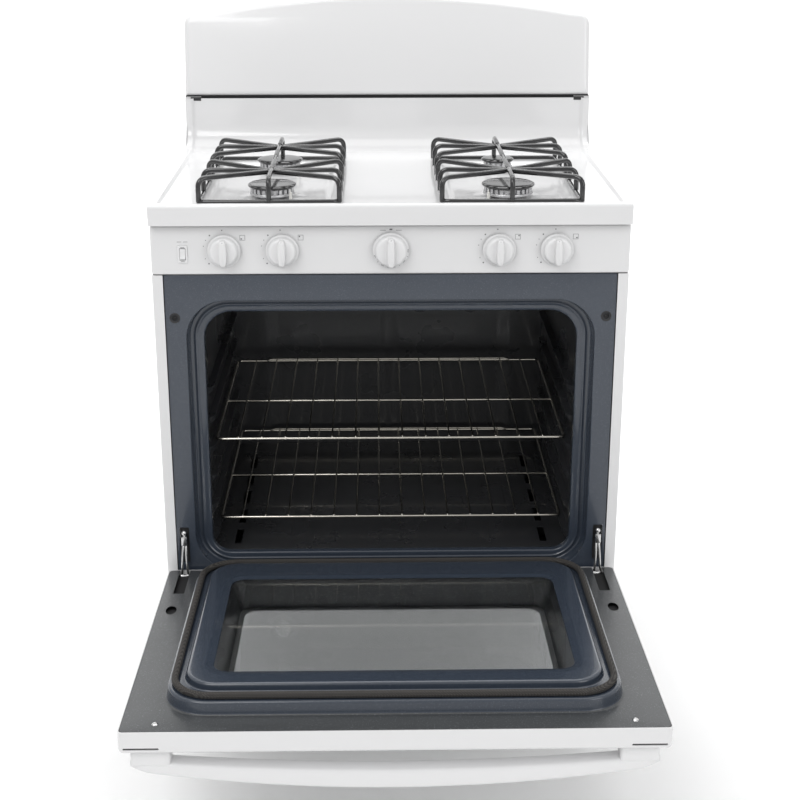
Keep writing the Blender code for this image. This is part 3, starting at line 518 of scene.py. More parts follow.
def make_grates():
    """Bent round bars: a ring on the deck, three fingers a side over each burner and a riser at each end."""
    half_x, half_y = 0.111, 0.187
    top, rail = 0.955 - 0.0043, DECK_Z + 0.0039
    middle = sum(BURNER_Y) / 2
    for side, word in ((-1, "left"), (1, "right")):
        ring = [(x, y, rail) for x, y in rounded_rectangle(half_x, -half_y, half_y, 0.012, 6)]
        bars = [tube("ring", ring, 0.0035, 14, closed=True)]
        for end in (-1, 1):
            burner = BURNER_Y[end > 0] - middle
            riser = bent([(0, end * half_y, rail), (0, end * half_y, top), (0, burner + end * 0.006, top)],
                         0.014, 8)
            bars.append(tube("riser", riser, 0.0041, 14))
            inner = bent([(0, burner - end * 0.006, top - 0.0005), (0, end * 0.002, top - 0.0005)], 0.01, 2)
            bars.append(tube("spine", inner, 0.0040, 14))
            for hand in (-1, 1):
                for spread in (-1, 0, 1):
                    start = max(min(burner + spread * 0.083, half_y - 0.004), -half_y + 0.004)
                    drop = 0.0006 + 0.0004 * (spread + 1)
                    hub = (hand * 0.0075, burner + spread * 0.0085, top - 0.002 - drop)
                    finger = bent([(hand * half_x, start, rail), (hand * half_x, start, top - drop), hub],
                                  0.015, 8)
                    bars.append(tube("finger", finger, 0.0042, 14))
            bars.append(tube("hub_bar", [(-0.010, burner, top - 0.0032), (0.010, burner, top - 0.0032)],
                             0.0036, 12))
        piece(f"grate_bars_{word}", merged("grate", bars, 50), BLACK, f"{word}_grate_body",
              (f"grate_{word}",), RANGE @ Matrix.Translation((side * BURNER_X, middle, 0.0)))


def make_backguard():
    """The arched back panel: a leaning face rolled over at its edge, with its lower edge turned under."""
    bottom, corner, crown = GUARD_LOW.z, 1.158, GUARD_HIGH.z
    lean = 0.040 / (crown - bottom)
    radius, roll = 0.022, 0.011

    def outline(inset):
        """The face's outline, drawn in from its edge by an inset."""
        half = HALF - inset
        bend = max(radius - inset, 0.006)
        points = []
        span = half - bend
        for step in range(11):
            angle = radians(74 * step / 10)
            points.append((span + bend * cos(angle), corner - inset * 0.8 - bend + bend * sin(angle)))
        for step in range(1, 48):
            x = span * (1 - step / 24)
            points.append((x, crown - inset - (crown - corner) * (x / span) ** 2))
        points += [(-x, z) for x, z in points[10::-1]]
        rise = corner - bend - bottom - inset * 1.9
        wall = [(half, bottom + inset * 0.9 + rise * step / 6) for step in range(6)]
        points = wall + points + [(-x, z) for x, z in wall[::-1]]
        low = [(-half + 2 * half * step / 24, bottom + inset * 0.9) for step in range(1, 24)]
        return points + low

    rings = []
    for step in range(9):
        angle = pi / 2 * step / 8
        inset, depth = roll * (1 - sin(angle)), roll * (1 - cos(angle))
        rings.append([(x, RISER_Y + (z - bottom) * lean + depth, z) for x, z in outline(inset)])
    face_ring = rings[0]
    rear = [(x, REAR, z) for x, z in outline(0.0)]
    lip = [(x, REAR, z) for x, z in outline(0.010)]
    shell = loft("backguard", [*rings, rear, lip], smooth_to=40)
    shape = bmesh.new()
    shape.from_mesh(shell)
    corners = [shape.verts.new(point) for point in face_ring]
    shape.faces.new(corners)
    skin = from_bmesh("backguard", shape, 40)
    piece("backguard_shell", skin, WHITE, replaces=("backguard_panel",))
    piece("backguard_back_sheet", prism("sheet", outline(0.004), REAR - 0.0032, REAR - 0.0020), STEEL,
          replaces=("backguard_rear_cover",))
    # A dark box of painted shade fills the gap between the riser and the backguard's lower edge.
    gap_shade = box_mesh("gap_shade", (-HALF + 0.004, RISER_Y + 0.0050, RISER_Z + 0.0004),
                    (HALF - 0.004, RISER_Y + 0.030, bottom + 0.0012))
    piece("backguard_gap_shade", gap_shade, SHADOW)
    for side, word in ((-1, "left"), (1, "right")):
        ends = sorted((side * (HALF - 0.0300), side * (HALF - 0.0105)))
        clip = box_mesh("clip", (ends[0], RISER_Y - 0.0012, RISER_Z - 0.0045),
                        (ends[1], RISER_Y + 0.012, RISER_Z + 0.0022),
                        0.001, 2)
        piece(f"backguard_bracket_{word}", clip, RUBBER)


# ---------------------------------------------------------------- control panel
def rolled_tray(half, low, high, face, back, roll, corner, window=None):
    """A shallow tray: rolled front edges, sides turned back, and a window if it has one."""
    outlines = [(0.02, (low + high) / 2 - 0.01, (low + high) / 2 + 0.01, 0.004, 0.004)]
    profile = []
    if window:
        w_half, w_low, w_high, w_bend = window
        outlines = [(w_half, w_low, w_high, w_bend, w_bend)]
        profile = [(w_half, face + 0.006), (w_half, face + 0.0012), (w_half + 0.001, face)]
    outlines += [(half - roll, low + roll, high - roll, max(corner - roll, 0.0005),
                  max(corner - roll, 0.0005)),
                 (half, low, high, corner, corner)]
    for step in range(9):
        angle = pi / 2 * step / 8
        profile.append((half - roll * (1 - sin(angle)), face + roll * (1 - cos(angle))))
    profile += [(half, back), (half - SHEET, back), (half - SHEET, face + roll)]
    return pressed("tray", outlines, profile, steps=6, smooth_to=40), profile[0], outlines


def closed_tray(half, low, high, face, back, roll, corner):
    """The tray with a flat face across its middle."""
    skin, start, outlines = rolled_tray(half, low, high, face, back, roll, corner)
    row = outlines[-2]
    ring = [(x, face, z) for x, z in rounded_rectangle(start[0], row[1], row[2], row[3], 6, row[4])]
    shape = bmesh.new()
    shape.from_mesh(skin)
    shape.faces.new([shape.verts.new(point) for point in ring])
    bpy.data.meshes.remove(skin)
    return from_bmesh("tray", shape, 40)


def drum(centre, radius, start, end, sides=24):
    """A plain round cutter or boss along Y."""
    outline = [(centre[0] + radius * cos(2 * pi * k / sides), centre[1] + radius * sin(2 * pi * k / sides))
               for k in range(sides)]
    return prism("drum", outline, start, end)


def make_panel():
    """The control panel's face, with its printed marks and the light switch's surround."""
    low, high = PANEL_LOW.z, PANEL_HIGH.z
    face = closed_tray(HALF, low, high, 0.0, 0.030, 0.0035, 0.0045)
    holes = [drum((x, KNOB_Z), 0.0065, -0.01, 0.01) for x in KNOB_X.values()]
    holes.append(box_mesh("mouth", (SWITCH[0] - 0.0065, -0.01, SWITCH[1] - 0.0115),
                          (SWITCH[0] + 0.0065, 0.01, SWITCH[1] + 0.0115)))
    piece("control_fascia", face, WHITE, replaces=("control_panel",), cuts=holes)
    # A dark box of painted shade behind the fascia's top edge stands in for the shade in the gap under the
    # cooktop's lip.
    shade_backing = box_mesh("shade_backing", (-HALF + 0.004, 0.0040, high - 0.004),
                       (HALF - 0.004, 0.0290, high + 0.0016))
    piece("fascia_gap_shade", shade_backing, SHADOW)
    marks = []
    ink = (-0.00018, 0.00015)
    for name, x in KNOB_X.items():
        if name == "oven":
            marks.append(box_mesh("mark", (x - 0.0022, ink[0], KNOB_Z + 0.0318),
                                  (x + 0.0022, ink[1], KNOB_Z + 0.0340)))
            for hand in (-1, 1):
                marks.append(box_mesh("mark", (x + hand * 0.0125 - 0.0045, ink[0], KNOB_Z + 0.0312),
                                      (x + hand * 0.0125 + 0.0045, ink[1], KNOB_Z + 0.0319)))
            continue
        for angle, size in ((95, 0.0010), (132, 0.0012), (150, 0.0007), (168, 0.0007), (205, 0.0007),
                            (222, 0.0012)):
            spot = (x + 0.0335 * cos(radians(angle)), KNOB_Z + 0.0325 * sin(radians(angle)))
            marks.append(drum(spot, size, *ink, sides=12))
        left, base, side = x + 0.0250, KNOB_Z + 0.0160, 0.0085
        for edge in ((0, 0, side, 0.0005), (0, side - 0.0005, side, side), (0, 0, 0.0005, side),
                     (side - 0.0005, 0, side, side)):
            marks.append(box_mesh("mark", (left + edge[0], ink[0], base + edge[1]),
                                  (left + edge[2], ink[1], base + edge[3])))
        place = {"left_outer": (0, 0), "left_inner": (0, 1), "right_inner": (1, 1),
                 "right_outer": (1, 0)}[name]
        spot = (left + side * (0.29 + 0.42 * place[0]), base + side * (0.29 + 0.42 * place[1]))
        marks.append(drum(spot, 0.0012, *ink, sides=12))
    for hand in (-1, 1):
        marks.append(box_mesh("mark", (SWITCH[0] + hand * 0.005 - 0.0035, ink[0], SWITCH[1] + 0.0195),
                              (SWITCH[0] + hand * 0.005 + 0.0035, ink[1], SWITCH[1] + 0.0201)))
    piece("panel_marks", merged("marks", marks), INK)
    frame_piece = pressed("bezel", [(0.0047, SWITCH[1] - 0.0098, SWITCH[1] + 0.0098, 0.001, 0.001),
                                    (0.0078, SWITCH[1] - 0.0145, SWITCH[1] + 0.0145, 0.002, 0.002)],
                          filleted([(0.0047, 0.010), (0.0047, -0.0022, 0.0008), (0.0078, -0.0022, 0.0010),
                                    (0.0078, -0.0002)], 4))
    piece("switch_bezel", placed(frame_piece, Matrix.Translation((SWITCH[0], 0, 0))), PLASTIC,
          replaces=("light_switch_housing",))
    line = [box_mesh("bar", (SWITCH[0] - 0.0030, -0.00245, SWITCH[1] + 0.0112),
                     (SWITCH[0] + 0.0030, -0.0021, SWITCH[1] + 0.0119)),
            box_mesh("bar", (SWITCH[0] - 0.0030, -0.00245, SWITCH[1] - 0.0119),
                     (SWITCH[0] + 0.0030, -0.0021, SWITCH[1] - 0.0112))]
    piece("switch_marks", merged("bars", line), INK)


def knob_mesh(radius, grip):
    """A knob along Z, its top outwards: rounded skirt, dished face and a tapered ridge to grip."""
    skirt = filleted([(0.0046, 0.0200), (radius - 0.0075, 0.0188, 0.002), (radius - 0.0046, 0.0165, 0.003),
                      (radius - 0.0030, 0.0088, 0.002), (radius, 0.0072, 0.0015), (radius, 0.0042, 0.0006),
                      (radius - 0.002, 0.0042), (0.0046, 0.0060), (0.0046, 0.0195)], 4)
    body = turned("skirt", skirt, 72, 40)
    rings = []
    for level in range(12):
        share = level / 11
        height = 0.012 + (grip - 0.012) * sin(share * pi / 2)
        pull = 1 - 0.16 * share - 0.10 * share ** 5
        wide, long = 0.0066 * pull, (radius - 0.0052) * (1 - 0.05 * share - 0.05 * share ** 5)
        ring = []
        for k in range(40):
            angle = 2 * pi * k / 40
            ring.append((wide * abs(cos(angle)) ** 0.45 * (1 if cos(angle) > 0 else -1),
                         long * abs(sin(angle)) ** 0.75 * (1 if sin(angle) > 0 else -1), height))
        rings.append(ring)
    cap = [(x * 0.80, y * 0.97, z + 0.0004) for x, y, z in rings[-1]]
    ridge = loft("ridge", [*rings, cap], cap_start=True, cap_end=True, smooth_to=50)
    return merged("knob", [body, ridge], 45)


def make_knobs():
    """Five dials with their pointers, the oven's numbers, and the shafts behind them."""
    upright = Matrix.Rotation(pi / 2, 4, "X")
    for name, x in KNOB_X.items():
        radius = 0.029 if name == "oven" else 0.0265
        place = RANGE @ Matrix.Translation((x, 0.0, KNOB_Z)) @ upright
        piece(f"dial_{name}", knob_mesh(radius, 0.0296), PLASTIC, f"{name}_knob_body",
              (f"knob_{name}",), place)
        line = box_mesh("pointer", (-0.0009, radius - 0.0125, 0.0291), (0.0009, radius - 0.0072, 0.0299),
                        0.0002, 1)
        marks = [line]
        if name == "oven":
            for index in range(9):
                angle = radians(200 + 20 * index)
                spot = Vector((cos(angle), sin(angle), 0)) * (radius - 0.0019)
                tick = box_mesh("tick", (-0.0011, -0.0004, -0.0002), (0.0011, 0.0004, 0.0002))
                turn = Matrix.Translation((spot.x, spot.y, 0.0082)) @ Matrix.Rotation(angle, 4, "Z")
                if index % 2:
                    marks.append(placed(tick, turn))
                    continue
                bpy.data.meshes.remove(tick)
                marks.append(digits(str(200 + 25 * index), 0.0036,
                                    turn @ Matrix.Rotation(pi / 2, 4, "Z") @ Matrix.Rotation(radians(38), 4,
                                                                                             "X")))
        piece(f"dial_marks_{name}", merged("marks", marks), INK, f"{name}_knob_body",
              place=place)
        shaft = turned("shaft", [(0.0004, 0.0185), (0.0036, 0.0185), (0.0040, 0.0181), (0.0040, -0.0420),
                                 (0.0004, -0.0420)], 24)
        piece(f"shaft_{name}", shaft, BRIGHT, f"{name}_stem_body", (f"stem_{name}",), place)


def digits(text, size, place):
    """Upright numerals as a mesh, centred on their own origin."""
    curve = bpy.data.curves.new("digits", "FONT")
    curve.body, curve.size, curve.extrude = text, size, 0.0002
    curve.align_x, curve.align_y, curve.resolution_u = "CENTER", "CENTER", 3
    obj = shown("digits", curve)
    made = applied(obj)
    bpy.data.objects.remove(obj)
    return placed(made, place)


def make_rocker():
    """The light switch's rocker, pressed in at its lower end."""
    profile = filleted([(0.0050, -0.0088), (-0.0030, -0.0085, 0.001), (-0.0012, 0.0, 0.004),
                        (-0.0030, 0.0085, 0.001),
                        (0.0050, 0.0088)], 5)
    rocker = prism("rocker", profile, -0.0042, 0.0042, axis="X")
    tilt = Matrix.Translation((SWITCH[0], 0, SWITCH[1])) @ Matrix.Rotation(radians(-8), 4, "X")
    piece("rocker_cap", rocker, PLASTIC, "light_rocker_body", ("light_switch_rocker",),
          RANGE @ tilt)


# ---------------------------------------------------------------- oven
MOUTH = (0.3050, 0.298, 0.728, 0.0465, 0.030)
SEAT = (0.3275, 0.279, 0.750, 0.0620, 0.0620)
SEAT_Y = 0.028
FRAME_EDGE = (0.3634, 0.2455, 0.7965, 0.003, 0.003)


def make_front_frame():
    """The enamelled front: flat border, rolled step to the gasket's seat, a raised bead and the mouth."""
    step_out = (0.3335, 0.274, 0.756, 0.0675, 0.0675)
    profile = filleted([(0.3634, 0.009), (0.3634, 0.0040, 0.001), (0.3335, 0.0040, 0.002),
                        (0.3310, 0.0040, 0.003),
                        (0.3275, SEAT_Y, 0.007), (0.3215, SEAT_Y, 0.003), (0.3185, SEAT_Y - 0.0022, 0.003),
                        (0.3150, SEAT_Y, 0.003), (0.3105, SEAT_Y, 0.002), (0.3050, SEAT_Y + 0.0012, 0.003),
                        (0.3050, SEAT_Y + 0.0115)], 5)
    skin = pressed("front_frame", [MOUTH, SEAT, step_out, FRAME_EDGE], profile, steps=12)
    slots = [box_mesh("slot", (side * HINGE_X - 0.008, -0.01, 0.292), (side * HINGE_X + 0.008, 0.02, 0.356),
                      0.002, 2)
             for side in (-1, 1)]
    bumpers = [drum((side * BUMPER_X, BUMPER_Z), 0.0050, -0.01, 0.02) for side in (-1, 1)]
    skin = thickened(skin, 0.0012)
    piece("oven_surround", skin, BLUE, replaces=("oven_front_frame",),
          cuts=[*slots, *bumpers])
    for side, word in ((-1, "left"), (1, "right")):
        cup = turned("cup", filleted([(0.0005, -0.004), (0.0040, -0.004, 0.001), (0.0048, -0.0002, 0.001),
                                      (0.0078, 0.0006, 0.001),
                                      (0.0085, 0.0)], 4), 32)
        place = RANGE @ Matrix.Translation((side * BUMPER_X, 0.0038, BUMPER_Z)) @ Matrix.Rotation(pi / 2, 4,
                                                                                                  "X")
        piece(f"door_bumper_{word}", cup, RUBBER, place=place)
        # A dark plate of painted shade behind each hinge slot.
        shade_backing = box_mesh("pocket", (side * HINGE_X - 0.0075, 0.0070, 0.290),
                           (side * HINGE_X + 0.0075, 0.0080, 0.358))
        piece(f"hinge_pocket_{word}", shade_backing, SHADOW)


def make_liner():
    """The oven's inside: walls with pressed rack ledges, a seamed back, and a rolled front edge."""
    low, high = CAVITY_Z
    front, half, back = SEAT_Y + 0.0020, CAVITY_HALF, CAVITY_BACK

    def ledge(y, z):
        rise = 0.0
        ends = soft((y - 0.056) / 0.022) * soft((0.526 - y) / 0.022)
        for level in RACK_LEVELS:
            top = level - 0.0036
            above, below = soft((top + 0.0006 - z) / 0.0012), soft((z - (top - 0.024)) / 0.019)
            rise = max(rise, min(above, below))
        return 0.0110 * rise * ends

    shifts = (-0.0012, -0.0006, 0.0, 0.0006, 0.001)
    even = {round(low + (high - low) * step / 90, 5) for step in range(91)}
    levels = sorted(even | {round(level - 0.0036 + shift, 5) for level in RACK_LEVELS for shift in shifts})
    even = {round(front + (back - front) * step / 44, 5) for step in range(45)}
    ends = {round(start + step * 0.0044, 5) for start in (0.056, 0.504) for step in range(6)}
    depths = sorted(even | ends)
    walls = []
    for side in (-1, 1):
        rows = [[(side * (half - ledge(y, z)), y, z) for z in levels] for y in depths]
        walls.append(loft("wall", rows, closed=False, smooth_to=50))
    roof = loft("roof", [[(x, y, high) for x in (-half, half)] for y in (front, back)], closed=False)
    floor = loft("floor", [[(x, y, low) for x in (-half, half)] for y in (front, back)], closed=False)
    rear = []
    for column in range(61):
        x = -half + 2 * half * column / 60
        push = 0.004 * soft((abs(x) - 0.004) / 0.010) - 0.003 * soft((abs(x) - 0.226) / 0.010)
        rear.append([(x, back - 0.004 + push, low + (high - low) * step / 6) for step in range(7)])
    wall = loft("rear", rear, closed=False, smooth_to=50)
    collar = pressed("collar", [(0.3068, 0.2962, 0.7298, 0.048, 0.0318), (half, low, high, 0.004, 0.004)],
                     [(0.3068, front), (half, front)], steps=12)
    piece("oven_interior", merged("liner", [*walls, roof, floor, wall, collar], 50), CHARCOAL,
          replaces=("oven_liner",))
    jacket = box_mesh("jacket", (-half - 0.0060, front + 0.004, low - 0.0030),
                      (half + 0.0060, back + 0.0030, high + 0.0030), 0.004, 2)
    jacket = shown("jacket", jacket)
    carved(jacket, [box_mesh("room", (-half - 0.0035, -0.1, low - 0.0012),
                             (half + 0.0035, back + 0.0012, high + 0.0012))])
    mesh = jacket.data
    bpy.data.objects.remove(jacket)
    piece("oven_jacket", mesh, STEEL)


def make_lamp():
    """The oven lamp: a glass cover over its bulb, in a steel collar."""
    place = RANGE @ Matrix.Translation((-0.225, CAVITY_BACK, 0.690)) @ Matrix.Rotation(pi / 2, 4, "X")
    dome = filleted([(0.0006, 0.0400), (0.010, 0.0385, 0.006), (0.020, 0.0320, 0.007),
                     (0.0238, 0.022, 0.004), (0.0238, 0.0100)], 6)
    piece("lamp_cover", turned("cover", dome, 48, 50), LAMP, replaces=("oven_lamp",), place=place)
    rim = filleted([(0.0225, 0.0150), (0.0260, 0.0150, 0.001), (0.0300, 0.0090, 0.002), (0.0300, 0.0050)],
                   4)
    piece("lamp_collar", turned("rim", rim, 48, 40), BRIGHT, place=place)
    bulb = filleted([(0.0006, 0.0330), (0.0120, 0.0300, 0.008), (0.0130, 0.0200, 0.006), (0.0070, 0.0080)],
                    6)
    piece("lamp_bulb", turned("bulb", bulb, 32, 50), PLASTIC, place=place)


def make_racks():
    """Bright wire racks: a bent frame, one cross bar and fourteen long wires turned down at the front."""
    half, depth = RACK_HALF, RACK_DEPTH
    for name, level, front in (("lower_rack", RACK_LEVELS[0], 0.117),
                               ("upper_rack", RACK_LEVELS[3], 0.089)):
        back, rail, fine = front + depth, 0.0026, 0.0015
        loop = [(x, y, level) for x, y in rounded_rectangle(half - rail, front + rail, back - rail, 0.010,
                                                            6)]
        bars = [tube("frame", loop, rail, 12, closed=True)]
        middle = front + depth * 0.45
        bars.append(tube("cross", [(-half + rail, middle, level), (half - rail, middle, level)], 0.0024,
                         10))
        stop = bent([(-0.240, back - 0.004, level + 0.001), (-0.232, back - 0.0034, level + 0.0036),
                     (0.232, back - 0.0034, level + 0.0036), (0.240, back - 0.004,
                                                              level + 0.001)], 0.012, 5)
        bars.append(tube("stop", stop, 0.0022, 10))
        top = level + rail + fine - 0.0007
        for index in range(RACK_WIRES):
            x = (index - (RACK_WIRES - 1) / 2) * WIRE_PITCH
            wire = bent([(x, front + 0.0020, level - 0.0004), (x, front + 0.0035, top),
                         (x, back - 0.0035, top),
                         (x, back - 0.0022, level - 0.0004)], 0.002, 3)
            bars.append(tube("wire", wire, fine, 8))
        piece(f"{name}_wires", merged("rack", bars, 50), CHROME, f"{name}_body", (name,))


# ---------------------------------------------------------------- door, drawn shut and swung open
PLUG_TOP, PLATEAU_Y, FLANGE_Y, SKIN_Y = 0.0265, 0.0155, -0.004, -0.037
PANEL_EDGE = (0.3761, 0.2669, 0.7901, 0.007, 0.007)
PLATEAU = (0.3215, 0.282, 0.745, 0.060, 0.060)
PLUG_OUT = (0.2985, 0.3015, 0.7165, 0.047, 0.047)
WINDOW = (0.2600, 0.366, 0.675, 0.022, 0.022)


def make_door_panel():
    """The inner panel: flange, raised border, gasket's groove, plug and the slope down to the window."""
    before = (0.3245, 0.280, 0.748, 0.063, 0.063)
    inner = (0.2700, 0.356, 0.685, 0.030, 0.030)
    plug = (0.2960, 0.304, 0.714, 0.045, 0.045)
    glass = PLUG_TOP - 0.0024
    profile = filleted([(0.3761, -0.0065), (0.3761, FLANGE_Y, 0.0010), (0.3245, FLANGE_Y, 0.003),
                        (0.3215, PLATEAU_Y, 0.004), (0.2985, PLATEAU_Y, 0.002), (0.2960, PLUG_TOP, 0.004),
                        (0.2700, PLUG_TOP, 0.005), (0.2600, glass)], 6)
    skin = pressed("door_panel", [WINDOW, inner, plug, PLUG_OUT, PLATEAU, before, PANEL_EDGE], profile,
                   steps=12)
    cuts = [box_mesh("slot", (side * HINGE_X - 0.009, -0.02, 0.250), (side * HINGE_X + 0.009, 0.01, 0.358),
                     0.002, 2)
            for side in (-1, 1)]
    for side in (-1, 1):
        oval = [(side * 0.354 + 0.0085 * cos(2 * pi * k / 32),
                 0.419 + 0.0150 * sin(2 * pi * k / 32)) for k in range(32)]
        cuts.append(prism("oval", oval, -0.02, 0.01))
    skin = thickened(skin, 0.0010)
    panel = piece("door_liner", skin, BLUE, "oven_door", ("door_inner_panel",), DOOR, cuts)
    panel.data.materials.append(FLANGE)
    back = DOOR.inverted()
    for face in panel.data.polygons:
        spot = back @ face.center
        if spot.y < FLANGE_Y + 0.0012:
            face.material_index = 1
    for side, word in ((-1, "left"), (1, "right")):
        head = screw_mesh(0.0048)
        spot = Matrix.Translation((side * 0.3290, FLANGE_Y + 0.0003, 0.7710)) @ Matrix.Rotation(-pi / 2, 4,
                                                                                                "X")
        piece(f"door_screw_{word}", head, BRIGHT, "oven_door", place=DOOR @ spot)
        # Painted shade: a dark plate behind each oval hole.
        pocket = [(side * 0.354 + 0.0095 * cos(2 * pi * k / 32),
                   0.419 + 0.0160 * sin(2 * pi * k / 32)) for k in range(32)]
        piece(f"door_socket_{word}", prism("socket", pocket, -0.0120, -0.0105), SHADOW,
              "oven_door", place=DOOR)
    # Painted shade: dark boxes fill the door's inside, seen through its slots, holes and vents.
    inside = box_mesh("core", (-0.3745, -0.0305, 0.2690), (-0.2600, -0.0120, 0.7880))
    other = box_mesh("core", (0.2600, -0.0305, 0.2690), (0.3745, -0.0120, 0.7880))
    top = box_mesh("core", (-0.2600, -0.0305, 0.6720), (0.2600, -0.0120, 0.7880))
    low = box_mesh("core", (-0.2600, -0.0305, 0.2690), (0.2600, -0.0120, 0.3520))
    piece("door_inside_shade", merged("core", [inside, other, top, low]), SHADOW, "oven_door",
          place=DOOR)
    throat = (0.2480, 0.362, 0.662, 0.020, 0.020)
    tunnel = pressed("tunnel", [throat, WINDOW], [(0.2600, PLUG_TOP - 0.0062), (0.2480, SKIN_Y + 0.0062)],
                     12)
    piece("window_edge", tunnel, FLANGE, "oven_door", place=DOOR)


def screw_mesh(radius):
    """A pan-headed screw with a crossed recess, its head along +Z."""
    head = turned("head", filleted([(0.0002, radius * 0.50), (radius * 0.62, radius * 0.44, radius * 0.3),
                                    (radius, radius * 0.16, radius * 0.16), (radius, -0.0008)], 4), 24, 50)
    bars = []
    for turn in (0.0, pi / 2):
        bar = box_mesh("slot", (-radius * 0.52, -radius * 0.10, radius * 0.40),
                       (radius * 0.52, radius * 0.10, radius * 0.53))
        bars.append(placed(bar, Matrix.Rotation(turn, 4, "Z")))
    return merged("screw", [head, *bars])


def make_door():
    """The door's outer skin, its vents, its two panes and its gasket."""
    low, high = 0.265, 0.792
    window = (0.240, 0.372, 0.650, 0.020)
    skin = rolled_tray(0.378, low, high, SKIN_Y, FLANGE_Y, 0.0065, 0.0075, window)[0]
    vents = [box_mesh("vent", (sorted((side * 0.322, side * 0.371))[0], SKIN_Y + 0.0062, high - 0.01),
                      (sorted((side * 0.322, side * 0.371))[1], SKIN_Y + 0.0092,
                       high + 0.01), 0.0012, 2) for side in (-1, 1)]
    piece("door_skin", skin, WHITE, "oven_door", ("door_outer_panel",), DOOR, vents)
    for side, word in ((-1, "left"), (1, "right")):
        # Painted shade: a dark strip behind each vent slot.
        ends = sorted((side * 0.321, side * 0.372))
        strip = box_mesh("strip", (ends[0], SKIN_Y + 0.0055, high - 0.0040),
                         (ends[1], SKIN_Y + 0.0100, high - 0.0022))
        piece(f"door_vent_{word}", strip, SHADOW, "oven_door", place=DOOR)
    pane = box_mesh("pane", (-0.258, SKIN_Y + 0.0019, 0.354), (0.258, SKIN_Y + 0.0059, 0.668), 0.0006, 1)
    piece("outer_pane", pane, GLASS, "oven_door", ("door_glass_outer",), DOOR)
    pane = box_mesh("pane", (-0.274, PLUG_TOP - 0.0059, 0.352), (0.274, PLUG_TOP - 0.0026, 0.689), 0.0006,
                    1)
    piece("inner_pane", pane, GLASS, "oven_door", ("door_glass_inner",), DOOR)
    loop = [(x, PLATEAU_Y + 0.0052, z) for x, z in rounded_rectangle(0.3120, 0.2900, 0.7365, 0.055, 10)]
    piece("door_seal", tube("seal", loop, 0.0050, 16, closed=True), BRAID, "oven_door",
          ("door_gasket",), DOOR)
    make_handle()


def make_handle():
    """A bowed bar of rounded section, swept from foot to foot, with a broad foot under each end."""
    end, post, base = 0.365, 0.307, SKIN_Y - 0.0004
    low, high, roll, steps = 0.752, 0.782, 0.0060, 5
    rings = []
    for step in range(61):
        share = step / 30 - 1
        bow = 1 - share * share
        outer, inner = base - 0.033 - 0.030 * bow, base - 0.0165 - 0.018 * bow
        taper = min(1.0, 0.55 + 9.0 * (1 - abs(share)))
        middle, deep, tall = (outer + inner) / 2, (inner - outer) / 2 * taper, (high - low) / 2 * taper
        bend = min(roll, deep * 0.9)
        ring = []
        for turn, (u, v) in enumerate(((1, 1), (-1, 1), (-1, -1), (1, -1))):
            for part in range(steps + 1):
                angle = pi / 2 * (turn + part / steps)
                ring.append((end * share, middle + u * (deep - bend) + bend * cos(angle),
                             (low + high) / 2 + v * (tall - bend) + bend * sin(angle)))
        rings.append(ring)
    parts = [loft("bow", rings, cap_start=True, cap_end=True, smooth_to=50)]
    for side in (-1, 1):
        near, far = sorted((side * (post + 0.002), side * (end - 0.0015)))
        parts.append(box_mesh("foot", (near, base - 0.026, low + 0.0005), (far, base, high - 0.0005),
                              0.0045, 4))
    piece("door_grip", merged("handle", parts, 50), PLASTIC, "oven_door", ("door_handle",),
          DOOR)


def make_hinges():
    """Each hinge: a pin and hanger on the frame, and two thin arms that splay down to the door."""
    for side, word in ((-1, "left"), (1, "right")):
        x = side * HINGE_X
        ball = placed(turned("ball", [(0.0045 * max(sin(pi * k / 12), 0.01),
                                       0.0045 * cos(pi * k / 12)) for k in range(13)], 20, 60),
                      Matrix.Translation((x, -0.0010, 0.3480)))
        hanger = box_mesh("hanger", (x - 0.0048, -0.0060, 0.3260), (x + 0.0048, 0.0080, 0.3425), 0.0012, 2)
        neck = tube("neck", [(x, -0.0010, 0.338), (x, -0.0010, 0.349)], 0.0022, 10)
        arms = []
        for hand in (-1, 1):
            route = bent([(x + hand * 0.0022, -0.0030, 0.3270), (x + hand * 0.0032, -0.0085, 0.3050),
                          (x + hand * 0.0052, -0.0120, 0.2730)], 0.010, 4)
            arms.append(tube("arm", route, 0.0019, 10, flat=0.7))
        pin = placed(turned("pin", [(0.0005, 0.0075), (0.0030, 0.0075), (0.0034, 0.0070), (0.0034, -0.0070),
                                    (0.0005, -0.0070)], 20),
                     Matrix.Translation((x, PIVOT[0], PIVOT[1])) @ Matrix.Rotation(pi / 2, 4, "Y"))
        piece(f"hinge_{word}", merged("hinge", [ball, hanger, neck, *arms, pin], 45), BRIGHT,
              replaces=(f"hinge_arm_{word}",))


# ---------------------------------------------------------------- drawer, sides, back and feet
def make_drawer():
    """The drawer's front, with its pressed bead."""
    low, high = 0.060, 0.2425
    face = closed_tray(0.378, low, high, -0.032, -0.002, 0.0065, 0.0075)
    piece("drawer_skin", face, WHITE, "drawer", ("drawer_front",))
    ridge = pressed("panel", [(0.300, 0.100, 0.205, 0.016, 0.016), (0.314, 0.086, 0.219, 0.024, 0.024)],
                    filleted([(0.3140, -0.0318), (0.3120, -0.0330, 0.001), (0.3060, -0.0330, 0.001),
                              (0.3035, -0.0318)], 4), 8)
    piece("drawer_bead", ridge, WHITE, "drawer")
    repaint(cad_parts["drawer_box"], STEEL)


def repaint(obj, finish):
    """Gives a carried-over CAD node its finish."""
    obj.data.materials.clear()
    obj.data.materials.append(finish)


